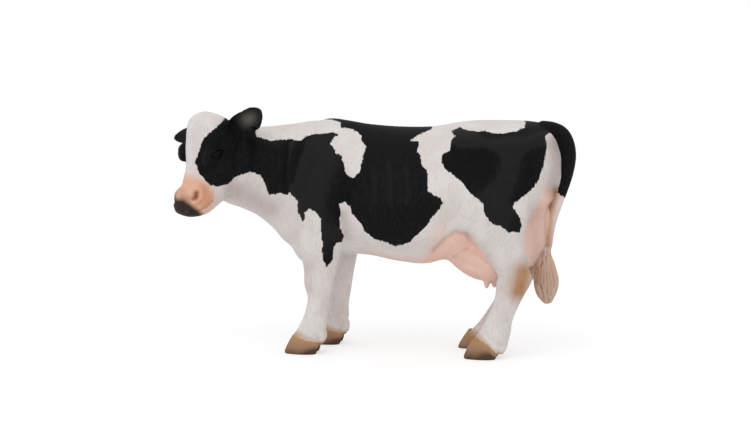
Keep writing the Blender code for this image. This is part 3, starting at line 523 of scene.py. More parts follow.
@dataclass
class Leg:
    """A leg from inside the trunk to its cloven hoof and dewclaws."""

    label: Label
    side: Side
    trunk: Trunk
    # height, x, half depth, half width and y
    stations: Rows
    depth: float
    width: float
    seam: float
    step: float
    step_power: float
    hoof_share: float
    dewclaw: Triple
    step_reach: float = 0.6
    spread: float = 18.4
    sides: int = 64
    power: float = 2.2
    hoof_length: float = 11.6
    hoof_width: float = 10.6
    hoof_height: float = 6.8
    hair_line: Row = (1.0, 0.8, 0.7, 0.6)
    hair_line_runs: Row = (0, 0.4, 0.7, 1)
    sole_start: float = -0.22
    sole_length: float = 0.72
    # How much the hoof's paint darkens towards the heel
    heel_darkening: float = 2.3
    cleft: float = 0.9
    toe_narrowing: float = 0.38
    dewclaw_radii: Triple = (1.5, 1.4, 2.8)
    # height at the toe and at the heel, place of the toe and of the heel, and width
    claw_rings: Rows = (
        (0, 0, -0.45, 0.43, 0.9), (0.1, 0.08, -0.48, 0.46, 0.98), (0.35, 0.25, -0.43, 0.49, 1),
        (0.7, 0.44, -0.325, 0.5, 0.97), (1, 0.62, -0.22, 0.5, 0.86),
    )

    def stride(self, height: Array) -> Array:
        """How far the leg is stepped at a height: step (1 - height / top)^power on the right."""
        step = 0 if self.side is Side.LEFT else self.step
        return step * np.clip(1 - height / (self.step_reach * self.trunk.height), 0, 1) ** self.step_power

    def rows(self) -> Array:
        """height, x, half depth, half width and y of each ring, in mm, from the top down."""
        height, x, depth, width, y = rows_through(self.stations).T
        height = height * self.trunk.height
        x = x * self.trunk.length + self.stride(height)
        y = self.side.value * y * self.spread / 2
        return np.stack([height, x, depth * self.depth / 2, width * self.width / 2, y], 1)

    def middle(self) -> float:
        """x of the middle of the foot."""
        return self.hoof_share * self.trunk.length + float(self.stride(np.zeros(1))[0])

    def claw(self, inner: int) -> Shell:
        """Half of the hoof: tilted rings that narrow to the toe as 1 - narrowing (1 - run)^2."""
        toe_up, heel_up, toe, heel, wide = rows_through(self.claw_rings, 5).T[:, :, None]
        width = (self.hoof_width - self.cleft) / 2
        across = self.side.value * self.spread / 2 + inner * (width + self.cleft) / 2
        angle = np.linspace(0, 2 * math.pi, self.sides, endpoint=False)[None, :]
        run = (1 + np.cos(angle)) / 2
        x = self.middle() + self.hoof_length * (toe + (heel - toe) * run)
        y = across + width / 2 * wide * np.sin(angle) * (1 - self.toe_narrowing * (1 - run) ** 2)
        z = self.hoof_height * (toe_up + (heel_up - toe_up) * run)
        return tube(np.stack([x, y, z], -1))

    def shells(self) -> list[Shell]:
        """The limb, two claws and two dewclaws."""
        height, x, depth, width, y = self.rows().T
        section = egg(self.sides, width, depth, depth, self.power, self.power)
        found = [loft(np.stack([x, y, height], 1), Y_AXIS, -np.eye(3)[0], section)]
        share_x, share_z, across = self.dewclaw
        for inner in (-1, 1):
            found.append(self.claw(inner))
            y = self.side.value * self.spread / 2 + inner * across * self.hoof_width
            centre = self.trunk.at(share_x, share_z, y)
            centre[0] += self.stride(centre[2])
            found.append(ball(centre, np.eye(3), self.dewclaw_radii, 20))
        return found

    def reach(self, points: Array) -> Array:
        """1 on the limb's skin, less inside, more outside: the superellipse of its level section."""
        rows = self.rows()[::-1]
        x, depth, width, y = (np.interp(points[:, 2], rows[:, 0], column) for column in rows.T[1:])
        fore, beside = np.abs((points[:, 0] - x) / depth), np.abs((points[:, 1] - y) / width)
        return (fore**self.power + beside**self.power) ** (1 / self.power)

    def hoof_depth(self, points: Array) -> Array:
        """mm below the hoof's hair line, times 1 + heel_darkening run^2, with run 0 at the toe and 1 at the
        heel, so the paint darkens towards the sole and heel.
        """
        place = (points[:, 0] - self.middle()) / self.hoof_length
        run = np.clip((place - self.sole_start) / self.sole_length, 0, 1)
        line = self.hoof_height * np.interp(run, self.hair_line_runs, self.hair_line)
        return (line - points[:, 2]) * (1 + self.heel_darkening * run**2)


@dataclass
class Udder:
    """The bag and its teats."""

    trunk: Trunk
    width: float = 20.6
    sides: int = 72
    power: float = 2.1
    # x, low, high and half width
    stations: Rows = (
        (0.045, 0.425, 0.515, 0.12), (0.087, 0.377, 0.545, 0.34), (0.141, 0.334, 0.56, 0.46),
        (0.196, 0.313, 0.575, 0.5), (0.25, 0.31, 0.59, 0.49), (0.304, 0.335, 0.605, 0.46),
        (0.356, 0.362, 0.625, 0.41), (0.397, 0.42, 0.7, 0.3), (0.418, 0.48, 0.72, 0.22),
        (0.432, 0.56, 0.73, 0.12),
    )
    # x along the body and y of each teat, as shares
    teats: Rows = ((0.213, -0.21), (0.213, 0.21), (0.238, -0.12), (0.238, 0.12))
    teat_radii: Triple = (1.15, 1.15, 3.2)
    teat_middle: float = 25.3

    def shells(self) -> list[Shell]:
        """The bag, and four teats as drawn-out balls."""
        x, low, high, half = rows_through(self.stations).T
        reach = (high - low) * self.trunk.height / 2
        section = egg(self.sides, half * self.width, reach, reach, self.power, self.power)
        bag = loft(self.trunk.at(x, (low + high) / 2), -Y_AXIS, Z_AXIS, section)
        places = [(along * self.trunk.length, across * self.width) for along, across in self.teats]
        return [bag] + [
            ball(np.array([x, y, self.teat_middle]), np.eye(3), self.teat_radii, 24) for x, y in places
        ]


@dataclass
class Tail:
    """The tail over its arch and down to the switch, flat against the rump."""

    trunk: Trunk
    diameter: float = 5.8
    sides: int = 48
    # x, height, half depth and half width
    stations: Rows = (
        (0.395, 0.976, 0.44, 0.46), (0.438, 0.97, 0.47, 0.48), (0.471, 0.951, 0.49, 0.49),
        (0.49, 0.911, 0.5, 0.48), (0.497, 0.855, 0.49, 0.46), (0.491, 0.785, 0.43, 0.42),
        (0.476, 0.715, 0.37, 0.38), (0.459, 0.65, 0.32, 0.34), (0.44, 0.57, 0.28, 0.31),
        (0.429, 0.48, 0.25, 0.3), (0.419, 0.43, 0.42, 0.38), (0.42, 0.37, 0.62, 0.46),
        (0.422, 0.32, 0.74, 0.5), (0.424, 0.265, 0.6, 0.44), (0.43, 0.22, 0.22, 0.22),
    )

    def rows(self) -> Array:
        """The stations' values for each ring, in mm."""
        scale = [self.trunk.length, self.trunk.height, self.diameter, self.diameter]
        return rows_through(self.stations) * scale

    def shells(self) -> list[Shell]:
        """The closed tail: ovals square to its run."""
        x, z, depth, width = self.rows().T
        centres = np.stack([x, 0 * x, z], 1)
        run = np.gradient(centres, axis=0)
        up = np.cross(Y_AXIS, run / lengths(run))
        return [loft(centres, Y_AXIS, up, egg(self.sides, width, depth, depth, 2, 2))]

    def reach(self, points: Array) -> Array:
        """mm outside the tail's skin, from the nearest ring's middle and half depth."""
        rows = self.rows()
        flat = points[:, None, [0, 2]] - rows[None, :, :2]
        gap = np.hypot(np.linalg.norm(flat, axis=2), points[:, 1][:, None]) - rows[:, 2]
        return gap.min(axis=1)


# Carving and painting, drawn on the left side of the photograph and mirrored to the right


@dataclass(frozen=True)
class Stroke:
    """A soft ridge, groove (height below zero) or spot of paint along a line in the photograph."""

    radius: float
    height: float
    line: Array

    def relief(self, pixels: Array) -> Array:
        """height e^-(d / radius)^2, with d the distance to the line in mm."""
        reach = 3 * self.radius / VIEW.mm_per_pixel
        near = ((pixels > self.line.min(0) - reach) & (pixels < self.line.max(0) + reach)).all(axis=1)
        relief = np.zeros(len(pixels))
        distance = line_distance(pixels[near], self.line) * VIEW.mm_per_pixel
        relief[near] = self.height * np.exp(-((distance / self.radius) ** 2))
        return relief


Strokes = tuple[Stroke, ...]


def strokes(*rows: Row) -> Strokes:
    """Strokes from rows of a radius and a height in mm, then x and y of each corner in pixels."""
    return tuple(Stroke(row[0], row[1], np.reshape(row[2:], (-1, 2)).astype(float)) for row in rows)


def strongest(marks: Strokes, pixels: Array) -> Array:
    """The greatest of the strokes' reliefs at each point."""
    return np.max([mark.relief(pixels) for mark in marks], axis=0)


# Seven faint ribs down the barrel, each leaning back a little: x, top and height
RIBS: Rows = (
    (364, 180, 0.14), (373, 170, 0.28), (381, 174, 0.18), (388.5, 166, 0.3), (397.5, 172, 0.2),
    (405.5, 168, 0.28), (414, 178, 0.14),
)
BODY_STROKES = strokes(
    (4, 1.2, 457, 141, 466, 143), (2.2, 0.9, 462, 142, 480, 146, 496, 148, 524, 146, 542, 139),
    (6, -1.3, 470, 160, 481, 163), (5, -0.9, 440, 150, 445, 160), (6, 0.8, 503, 162, 500, 182, 497, 205),
    (2.4, -0.6, 530, 158, 524, 180, 514, 200), (5, 0.9, 478, 213, 486, 230),
    (2, 0.55, 430, 240, 444, 229, 456, 223, 469, 227, 480, 240),
    (1.2, -0.75, 434, 250, 445, 238, 455, 232, 465, 234, 475, 245),
    (4.5, 0.9, 453, 247, 466, 256, 480, 268), (2.2, 0.5, 454, 256, 462, 250, 473, 243),
    (0.8, -0.55, 550, 203, 544, 216, 545, 228, 545.5, 240, 540, 257),
    (1.2, 0.35, 553, 196, 548.5, 214, 549, 240), (1.3, 0.25, 494, 227, 485, 236, 478, 247),
    (1.3, 0.2, 503, 230, 493, 239, 487, 250), (5, 0.7, 332, 135, 322, 165, 312, 190),
    (5, 0.9, 299, 200, 306, 209), (2.2, -0.75, 350, 176, 346, 188, 343, 203, 344, 222, 350, 240),
    (3.5, 0.6, 340, 231), (4, 0.4, 318, 225, 321, 245), (1.2, -0.16, 266, 148, 265, 165, 269, 184),
    (1.2, -0.2, 277, 150, 276, 166, 278, 182), (1.1, -0.55, 287, 143, 285, 160, 284, 178, 288, 192),
    (1, 0.4, 291, 146, 289, 162, 288, 178, 291, 188), (1.3, -0.5, 304, 140, 297, 154, 292, 170, 291, 182),
    (2.4, 0.35, 312, 146, 304, 160, 300, 178), (1.8, -0.55, 247, 128, 251, 148, 247, 170, 237, 184),
    (2.5, -0.4, 258, 190, 275, 212, 292, 236), (4, 0.35, 291, 236, 298, 247),
    (2, 0.3, 256, 140, 280, 145, 305, 142),
    *((1.2, high, x, top, x + 2, 188, x + 1, 208 - high * 20) for x, top, high in RIBS),
)
LEG_STROKES = strokes(
    (3, 0.45, 310, 282), (1, -0.35, 327, 292, 323, 315), (1.2, 0.2, 318, 290, 314, 315),
    (2.6, 0.3, 307, 326), (1, -0.25, 301, 333, 310, 336, 320, 338), (2, -0.6, 521, 258, 524, 270),
    (2.6, 0.35, 509, 276, 512, 286), (1.1, -0.4, 514, 294, 506, 320), (1.2, 0.25, 505, 294, 497, 318),
    (1, -0.3, 484, 333, 492, 340, 501, 345),
)
HEAD_STROKES = strokes(
    (6, 0.5, 233, 164), (1.8, 0.4, 223, 164, 213, 172, 206, 180), (2.6, -0.4, 204, 158, 201, 170),
    (2.4, 0.3, 241, 180, 229, 190, 219, 197), (0.55, 0.32, 209, 157, 214, 151.5, 221, 149, 227, 151),
    (0.55, 0.28, 210, 160, 216, 161, 223, 157.5, 227, 153), (0.6, -0.2, 210, 151.5, 215, 147, 222, 145),
    (0.6, -0.16, 211, 165, 218, 165, 225, 161), (0.85, -0.5, 211, 158.5, 217, 156, 225, 152),
    (0.8, -1.3, 197.5, 193, 197.5, 197, 194.5, 199), (0.8, 0.45, 201.5, 190, 201.5, 197, 197, 202),
    (1, 0.35, 192, 193, 190, 197), (0.8, -0.3, 184, 204, 190, 206, 196, 205, 202, 201.5),
    (0.5, -0.5, 184, 211, 192, 212.5, 200, 211, 208, 206.5, 213, 201),
    (0.9, 0.15, 187, 209, 193, 210, 200, 208), (3.2, 0.3, 206, 201), (0.7, -0.15, 196, 121, 205, 118),
    (0.7, -0.12, 194, 126, 203, 124),
)
UDDER_STROKES = strokes(
    (2.2, 0.5, 454, 256, 462, 250, 473, 243), (0.9, -0.3, 452, 254, 462, 261, 474, 266),
    (0.8, 0.25, 456, 249, 468, 256, 480, 262), (0.8, -0.2, 462, 245, 474, 252, 486, 262),
    (0.8, 0.22, 466, 268, 478, 273, 487, 276),
)
# Grooves between the locks of the switch: shift, top and low end
LOCKS: Rows = (
    (-8, 262, 288), (-5.2, 250, 298), (-2.4, 257, 293), (0.6, 246, 301), (3.6, 255, 295), (6.6, 249, 287),
)
TAIL_STROKES = strokes(*(
    (0.5, -0.5, 546 + 0.7 * k, top, 544.5 + k, 268, 545 + 1.3 * k, 282, 547 + 0.9 * k, low)
    for k, top, low in LOCKS
))
# Where two forms flow into each other without a crease: the radius, and how much is melted
SOFT_LINES = strokes(
    (5.5, 1, 300, 196, 297, 220, 297, 238, 301, 262), (4.5, 1, 448, 260, 456, 255, 464, 249, 474, 241),
    (3, 0.7, 472, 245, 480, 254), (3.5, 1, 526, 200, 525, 225, 527, 248, 533, 266),
    (3.5, 0.5, 345, 205, 346, 230, 350, 250), (3, 0.9, 247, 136, 249, 152, 246, 172, 237, 191),
)
PINK_WASHES = strokes(
    (2, 0.55, 368, 255, 388, 260, 410, 263, 430, 258), (2.4, 0.4, 430, 252, 437, 241, 440, 232),
)
# Tan paint on the hock, knee, flank, in the fold above the udder and on the switch; the strip along the
# tail's inner side is painted shade in tan
TAN_WASHES = strokes(
    (3.7, 0.95, 522, 272, 520, 281, 518, 290), (2.4, 0.2, 307, 268, 308, 288),
    (1.2, 0.55, 434, 251, 444, 241, 455, 234.5, 464, 236), (2.4, 0.1, 428, 244, 438, 230, 446, 216),
    (1.6, 0.9, 554, 192, 550.5, 203, 547.5, 216, 547.5, 228, 547, 244),
    (5, 0.2, 545, 262, 549, 280, 546, 296),
)
BLUSH_WASHES = strokes(
    (2.2, 0.65, 205, 188, 208, 196, 205, 204), (0.95, 1, 197.5, 193, 197, 198),
    (1.7, 0.65, 211, 195, 209, 203), (1.8, 0.2, 190, 182, 200, 184), (1.5, 0.5, 199, 205, 206, 206),
)
# Painted shade: on the rump beside and under the tail, on the throat and behind the elbow; darker at the
# front of the muzzle and in the nostril
SHADE_WASHES = strokes(
    (2.8, 0.85, 551, 145, 554, 165, 550, 190), (3.5, 0.7, 232, 188, 248, 196, 270, 208),
    (2, 0.5, 343, 215, 346, 235), (3.6, 0.6, 536, 212, 534, 235, 536, 256), (1.6, 0.6, 177, 189, 183, 192),
    (1.5, 1, 183, 197, 188, 199), (0.9, 1, 197, 196, 196, 198),
)
CARVING: tuple[tuple[Strokes, tuple[Label, ...]], ...] = (
    (BODY_STROKES, BODY), (LEG_STROKES, LEGS), (HEAD_STROKES, (Label.HEAD,)), (UDDER_STROKES, (Label.UDDER,)),
    (TAIL_STROKES, (Label.TAIL,)),
)

# Outlines as x and y of each corner in turn, in pixels of the photograph
LEFT_COAT: Rows = (
    (
        223, 122, 216, 129, 207, 136, 202, 144, 199, 153, 195.4, 161.5, 200, 174, 205, 179, 210, 185, 216,
        186.5, 229, 184, 234, 178, 244, 174, 251, 172, 260, 175, 265, 183, 269, 194.5, 276, 194, 281, 193,
        288, 195, 290, 192, 297.5, 201, 299, 213, 303, 222, 305.5, 219, 305, 213, 310, 209, 315, 211, 321,
        219, 322.5, 242, 323.4, 260, 327, 267, 333, 259, 334, 247, 336, 243, 342, 242, 344, 236, 340, 227,
        339.5, 220, 341, 213, 340, 204, 345, 202, 350, 206, 353, 215, 360, 222, 367, 233, 374, 239, 383,
        241, 395, 246, 408, 243, 413, 238, 421, 231, 427, 224, 433, 215, 439, 209, 442, 203.5, 439, 198,
        432, 195, 427, 192, 427, 172, 421, 165, 420, 156, 417, 152.5, 418, 147, 418, 142, 410, 142, 414,
        138, 422, 134, 430.5, 130, 432, 127, 432, 100, 326.6, 100, 326.6, 119, 335, 120.6, 340.6, 123, 341,
        128, 351, 129, 358, 133, 361.6, 137, 361.6, 141, 365.7, 147, 364, 156, 361, 165, 360, 172, 355, 178,
        350, 178, 346, 173.5, 345, 166.5, 341, 156, 336, 154, 335, 150, 330, 144, 335, 137, 339, 136, 338,
        134, 331, 133, 312, 135, 305.5, 137, 302, 141, 297, 141, 291.5, 139, 280, 140, 271, 141, 256, 137,
        256, 132, 257, 124, 232, 106,
    ),
    (
        450, 132.5, 459, 128, 464.5, 131, 476, 133, 484, 132, 488, 134, 500, 135, 514, 132.5, 522, 129, 525,
        122, 526, 100, 560, 100, 556, 128, 543, 137, 544.5, 146, 541, 168, 536, 181, 529, 191, 513, 203,
        511, 207, 518, 218, 520, 226, 517, 232, 506, 232, 500, 227, 491, 224, 483, 215, 481, 203, 467.5,
        193, 462, 184, 450, 174, 442.5, 168, 440, 160, 443, 154, 449, 152, 450, 141, 454, 137,
    ),
)
TAIL_COAT: Row = (
    520, 90, 580, 90, 580, 186, 566, 199, 560, 196, 553, 190.5, 547, 190, 540, 180, 520, 140,
)
MUZZLE: Row = (
    160, 174, 183, 175, 197, 177.5, 206, 182, 213, 190, 216, 198, 212, 206, 200, 220, 160, 222,
)
SMUDGE: Row = (
    160, 198, 176, 199, 184, 199.5, 189, 202.5, 193, 205.5, 197, 208.5, 200, 211, 203, 214, 200, 222, 160,
    222,
)
PINK_PATCHES: Rows = (
    (
        438, 246, 446, 237, 454, 232, 463, 233, 470, 238, 478, 247, 487, 261, 495, 275, 492, 290, 470, 284,
        450, 272, 436, 266, 418, 266, 426, 256,
    ),
    (
        530, 213, 540, 198, 543, 186, 548, 186, 555, 215, 553, 250, 545, 268, 531, 267, 523, 252, 523, 232,
    ),
)
# The right side is out of the photograph's sight: patches of the same kind, as x and z in mm,
# which meet the left side's where they cross the back
RIGHT_COAT: Rows = (
    (
        -34.8, 90, -36, 71, -33.5, 66, -35, 60, -31, 53, -29, 47, -22, 43, -16, 44.5, -9, 40.5, -2, 42, 3.5,
        47, 4, 54, -1, 59, 2.5, 64, -2.5, 70, 0.7, 76, 0.7, 90,
    ),
    (
        -100, 90, -71, 90, -70, 73, -64, 69.5, -58, 70.5, -50, 67, -47, 60, -50.5, 54, -55, 56, -59, 51,
        -64, 53, -68, 49, -73, 51, -100, 45,
    ),
    (
        32, 90, 31, 77, 24, 72.5, 17, 74, 10.5, 69, 9, 61, 13.5, 56, 20, 55, 23, 47, 29, 44, 32, 49, 36, 55,
        41, 62, 44, 71, 47, 90,
    ),
    (
        -45, 50, -41, 54, -37.5, 49, -36, 41, -38.5, 35, -41, 37.5, -43, 43,
    ),
)
# Half width of the white blaze on the far side of the face, as mm along the face and across
FAR_BLAZE_EDGE: Rows = (
    (-2, 7.5), (3, 6.6), (7, 5.9), (11, 5.2), (15, 4.8), (18, 4.6), (20, 5.4), (22, 7.4), (24, 9),
)


@dataclass
class Skin:
    """The whole outer skin: its points, faces and what each point knows of itself."""

    points: Array
    quads: Array
    edges: Array
    label: Array = field(default_factory=lambda: np.zeros(0, int))
    paint: dict[str, Array] = field(default_factory=dict)
    smooth: Array = field(default_factory=lambda: np.zeros((0, 3)))

    def normals(self) -> Array:
        """Unit normals of the points: the sum of the cross products of their faces' diagonals."""
        a, b, c, d = (self.points[self.quads[:, k]] for k in range(4))
        spread = np.repeat(np.cross(c - a, d - b), 4, axis=0)
        corners, size = self.quads.ravel(), len(self.points)
        total = np.stack([np.bincount(corners, column, size) for column in spread.T], 1)
        return total / np.maximum(lengths(total), 1e-12)

    def relaxed(self, values: Array, weight: Amount, rounds: int) -> Array:
        """Values of the points moved half way to their neighbours' mean, times a weight, some rounds over."""
        rows = values.reshape(len(values), -1).T.astype(float)
        a, b = self.edges.T
        size = len(values)
        count = np.bincount(self.edges.ravel(), minlength=size)
        for _ in range(rounds):
            total = np.stack([np.bincount(a, row[b], size) + np.bincount(b, row[a], size) for row in rows])
            rows += weight * 0.5 * (total / count - rows)
        return rows.T.reshape(values.shape)

    def near_seams(self, rounds: int) -> Array:
        """1 beside the seams between pieces, and less and less away from them."""
        split = self.edges[self.label[self.edges[:, 0]] != self.label[self.edges[:, 1]]]
        mark = np.zeros(len(self.points))
        mark[split] = 1
        return np.clip(3 * self.relaxed(mark, 1.0, rounds), 0, 1)

    def has(self, *labels: Label) -> Array:
        """True for the points of these pieces."""
        return np.isin(self.label, [NUMBER[label] for label in labels])


def put(name: str, data: bpy.types.ID) -> bpy.types.Object:
    """A new object of the scene, at the origin, that holds a mesh, lamp or camera."""
    made = bpy.data.objects.new(name, data)
    bpy.context.scene.collection.objects.link(made)
    return made


def voxel_union(shells: list[Shell], voxel: float) -> Skin:
    """Grows closed shells together into one even skin of small squares.

    Args:
        shells: closed surfaces, which may lie in each other.
        voxel: size of the squares in mm.

    Returns:
        The joined skin.
    """
    offsets = np.cumsum([0] + [len(shell.points) for shell in shells[:-1]])
    points = np.vstack([shell.points for shell in shells])
    triangles = np.vstack([shell.triangles + offset for shell, offset in zip(shells, offsets)])
    mesh = bpy.data.meshes.new("forms")
    mesh.from_pydata(points.tolist(), [], triangles.tolist())
    source = put("forms", mesh)
    modifier = source.modifiers.new("grow_together", "REMESH")
    modifier.mode = "VOXEL"
    modifier.voxel_size = voxel
    modifier.adaptivity = 0.0
    bpy.context.view_layer.update()
    joined = source.evaluated_get(bpy.context.evaluated_depsgraph_get()).to_mesh()
    found = np.empty(len(joined.vertices) * 3)
    joined.vertices.foreach_get("co", found)
    corners = np.empty(len(joined.loops), dtype=np.int64)
    joined.loops.foreach_get("vertex_index", corners)
    edges = np.empty(len(joined.edges) * 2, dtype=np.int64)
    joined.edges.foreach_get("vertices", edges)
    skin = Skin(found.reshape(-1, 3), corners.reshape(-1, 4), edges.reshape(-1, 2))
    bpy.data.objects.remove(source, do_unlink=True)
    bpy.data.meshes.remove(mesh)
    return skin


def without_bubbles(skin: Skin) -> Skin:
    """The largest connected part of a skin, without small bubbles shut in between the forms.

    Every point and its leader take the lowest leader found across each edge, until none changes.
    """
    a, b = skin.edges.T
    leader = np.arange(len(skin.points))
    changed = True
    while changed:
        low = np.minimum(leader[a], leader[b])
        found = leader.copy()
        for ends in (a, b, leader[a], leader[b]):
            np.minimum.at(found, ends, low)
        found = found[found]
        changed = bool((found != leader).any())
        leader = found
    kept = leader == np.bincount(leader).argmax()
    number = np.cumsum(kept) - 1
    return Skin(skin.points[kept], number[skin.quads[kept[skin.quads[:, 0]]]], number[skin.edges[kept[a]]])


FORELEG_STATIONS: Rows = (
    (0.84, -0.35, 1.3, 0.8, 0.85), (0.76, -0.357, 1.52, 1.15, 1), (0.67, -0.364, 1.65, 1.36, 1.1),
    (0.567, -0.367, 1.55, 1.38, 1.12), (0.464, -0.383, 1.42, 1.25, 1.08), (0.374, -0.384, 1.09, 1.08, 1.03),
    (0.329, -0.388, 0.98, 1, 1.01), (0.29, -0.39, 0.89, 0.93, 1), (0.238, -0.389, 0.72, 0.76, 1),
    (0.174, -0.4, 0.71, 0.74, 1), (0.122, -0.41, 0.84, 0.88, 1), (0.077, -0.426, 0.91, 1.02, 1),
    (0.045, -0.43, 0.83, 1, 1), (0.019, -0.43, 0.7, 0.83, 1),
)
HIND_LEG_STATIONS: Rows = (
    (0.9, 0.315, 1.45, 1.2, 0.6), (0.83, 0.296, 1.75, 1.6, 0.75), (0.745, 0.265, 1.95, 1.75, 0.9),
    (0.65, 0.253, 1.88, 1.68, 1), (0.545, 0.258, 1.52, 1.45, 1.06), (0.477, 0.28, 1.13, 1.26, 1.04),
    (0.419, 0.298, 0.98, 1.12, 1.02), (0.361, 0.323, 0.94, 1, 1), (0.329, 0.318, 0.94, 0.95, 1),
    (0.284, 0.306, 0.8, 0.85, 1), (0.232, 0.29, 0.71, 0.82, 1), (0.168, 0.266, 0.73, 0.84, 1),
    (0.116, 0.251, 0.84, 0.97, 1), (0.077, 0.236, 0.94, 1.1, 1), (0.045, 0.228, 0.95, 1.05, 1),
    (0.019, 0.218, 0.73, 0.9, 1),
)
# How far each piece's creases are rounded; the rest of the pieces fully
SOFTNESS: dict[Label, float] = {
    Label.HEAD: 0.4, Label.UDDER: 0.7, Label.TAIL: 0.35,
    **dict.fromkeys(EARS, 0.12), **dict.fromkeys(LEGS, 0.45),
}
# The share of it that is left at a piece's foot, and the heights from which it grows and is full
CRISP_FEET = ((LEGS, 0.08, 7.0, 12.0), ((Label.UDDER,), 0.2, 24.0, 28.0))


@dataclass
class Cow:
    """The whole figure: its forms, its one skin, and where its pieces and colours lie on it."""

    voxel: float = 0.33
    soften_rounds: int = 30
    melt_rounds: int = 140
    trunk: Trunk = field(default_factory=Trunk)
    # Where the pieces part, in mm, or as shares of a form's own skin
    outside_trunk: float = 1.02
    outside_leg: float = 1.03
    outside_tail: float = 0.35
    udder_space: tuple[Triple, Triple] = ((3, -10.6, 19), (38.6, 10.6, 52))
    udder_notch: tuple[Triple, Triple] = ((33, -INF, -INF), (INF, INF, 30))
    rump_space: tuple[Triple, Triple] = ((30, -4, -INF), (INF, 4, INF))
    tail_root_x: float = 43.5
    foreleg_x: float = -10.0
    hind_leg_x: float = 10.0
    pastern_height: float = 26.0
    neck_foot: float = 25.0
    ear_side: float = 0.45
    crown_top: float = -0.5
    crown_side: float = 6.5
    # Relief: how squarely a point faces the camera where it starts and is full, and its full mm
    facing_fade: tuple[float, float] = (-0.05, 0.45)
    # mm of relief at which the painted highlight on ridges and painted shade in grooves are full
    full_ridge: float = 0.55
    # mm of hollow at which the painted shade in the hollows is full, on the body and on the tail
    hollow_mm: float = 0.1
    tail_hollow_mm: float = 0.05
    # Share of the head's ridges, and of the head's and tail's last smoothing
    crisp: float = 0.3
    # Seams are drawn onto their planes where these cross the skin at least this steeply
    least_slope: float = 0.3
    # Colours, in mm: soft edges, and places along x or z where one ends and is full
    back_blend: float = 1.5
    patch_edge: tuple[float, float] = (-1.5, 1.3)
    smudge_edge: tuple[float, float] = (-1.1, 1.0)
    bare: float = -0.8
    blaze_half: float = 2.0
    face_end: float = 21.5
    thigh_x: float = 28.0
    pale_pink: float = 0.8
    udder_pink: tuple[float, float] = (33, 28)
    bare_tail: tuple[float, float] = (64, 58)
    pink_tail: tuple[float, float] = (34, 44)
    switch: tuple[float, float] = (42, 32)
    inward: tuple[float, float] = (0.3, -0.8)
    # Strengths of the tail's pink, low and high up, of its tan on the shaft, which is painted shade on the
    # side that faces the rump, and of its golden hair on the switch, and of the gold beside the hooves' hair
    # lines, which is shifted and fades in mm
    tail_pink: tuple[float, float] = (0.12, 0.16)
    tail_shade_and_gold: tuple[float, float] = (0.45, 0.62)
    hoof_gold: Triple = (0.32, 0.4, 1.6)
    glow_place: tuple[float, float] = (6.5, 0.8)
    glow_reach: tuple[float, float] = (3.4, 2.1)

    def __post_init__(self) -> None:
        """Makes the forms that hang on the trunk."""
        self.head = Head(self.trunk)
        self.neck = Neck(self.trunk, self.head)
        self.ears = (
            Ear(Label.LEFT_EAR, self.head, 1, (0, 0.41, 0.37), (0.86, -0.18, 0.48)),
            Ear(
                Label.RIGHT_EAR, self.head, -1, (0.12, 0.43, 0.38), (0.85, 0.47, -0.23),
                length=13.6, width=8.4, taper=0.4, glow=0.15,
            ),
        )
        self.udder = Udder(self.trunk)
        self.tail = Tail(self.trunk)
        fore = (self.trunk, FORELEG_STATIONS, 10.6, 8.4, 29.0, 4.9, 0.4, -0.451, (-0.379, 0.076, 0.17))
        hind = (self.trunk, HIND_LEG_STATIONS, 12.4, 7.8, 35.04, -4.4, 3.0, 0.201, (0.276, 0.056, 0.18))
        self.fore_legs = tuple(Leg(label, side, *fore) for label, side in zip(LEGS[:2], Side))
        self.hind_legs = (
            Leg(LEGS[2], Side.LEFT, *hind, hair_line=(1.12, 0.94, 0.72, 0.28), heel_darkening=3.0),
            Leg(LEGS[3], Side.RIGHT, *hind, hoof_height=5.8, hair_line=(1.0, 0.8, 0.56, 0.32), heel_darkening=3.0),
        )
        self.legs = (*self.fore_legs, *self.hind_legs)

    def grow(self) -> Skin:
        """Joins all the forms into one labelled skin."""
        makers = (self.trunk, self.neck, self.head, *self.ears, *self.legs, self.udder, self.tail)
        shells = [shell for maker in makers for shell in maker.shells()]
        skin = without_bubbles(voxel_union(shells, self.voxel))
        skin.label = self.labelled(skin.points)
        return skin

    def labelled(self, points: Array) -> Array:
        """The number of the piece that each point of the skin belongs to."""
        x, y, z = points.T
        label = np.where(y < 0, NUMBER[Label.TRUNK_LEFT], NUMBER[Label.TRUNK_RIGHT])
        outside_trunk = self.trunk.reach(points) > self.outside_trunk
        outside_legs = np.all([leg.reach(points) > self.outside_leg for leg in self.hind_legs], axis=0)
        udder = outside_trunk & outside_legs & within(points, self.udder_space)
        udder &= ~within(points, self.udder_notch)
        label[udder] = NUMBER[Label.UDDER]
        rear = within(points, self.rump_space)
        near_tail = rear.copy()
        near_tail[rear] = self.tail.reach(points[rear]) < self.outside_tail
        label[near_tail & (outside_trunk | (x > self.tail_root_x)) & outside_legs] = NUMBER[Label.TAIL]
        behind = x > np.where(z < self.pastern_height, self.foreleg_x, self.hind_leg_x)
        for leg in self.legs:
            own = (y < 0) == (leg.side is Side.LEFT)
            own &= (z < leg.seam) & ((x < self.foreleg_x) if leg in self.fore_legs else behind)
            label[own & ~udder & ~near_tail] = NUMBER[leg.label]
        for name, (point, normal) in ((Label.NECK, self.trunk.collar()), (Label.HEAD, self.head.throat())):
            label[((points - point) @ normal > 0) & (z > self.neck_foot)] = NUMBER[name]
        down, across, _ = self.head.local(points).T
        out = np.abs(across) > self.ear_side * self.head.width
        out |= (down < self.crown_top) & (np.abs(across) > self.crown_side)
        for ear in self.ears:
            label[within(ear.local(points), ear.space) & out] = NUMBER[ear.label]
        return label

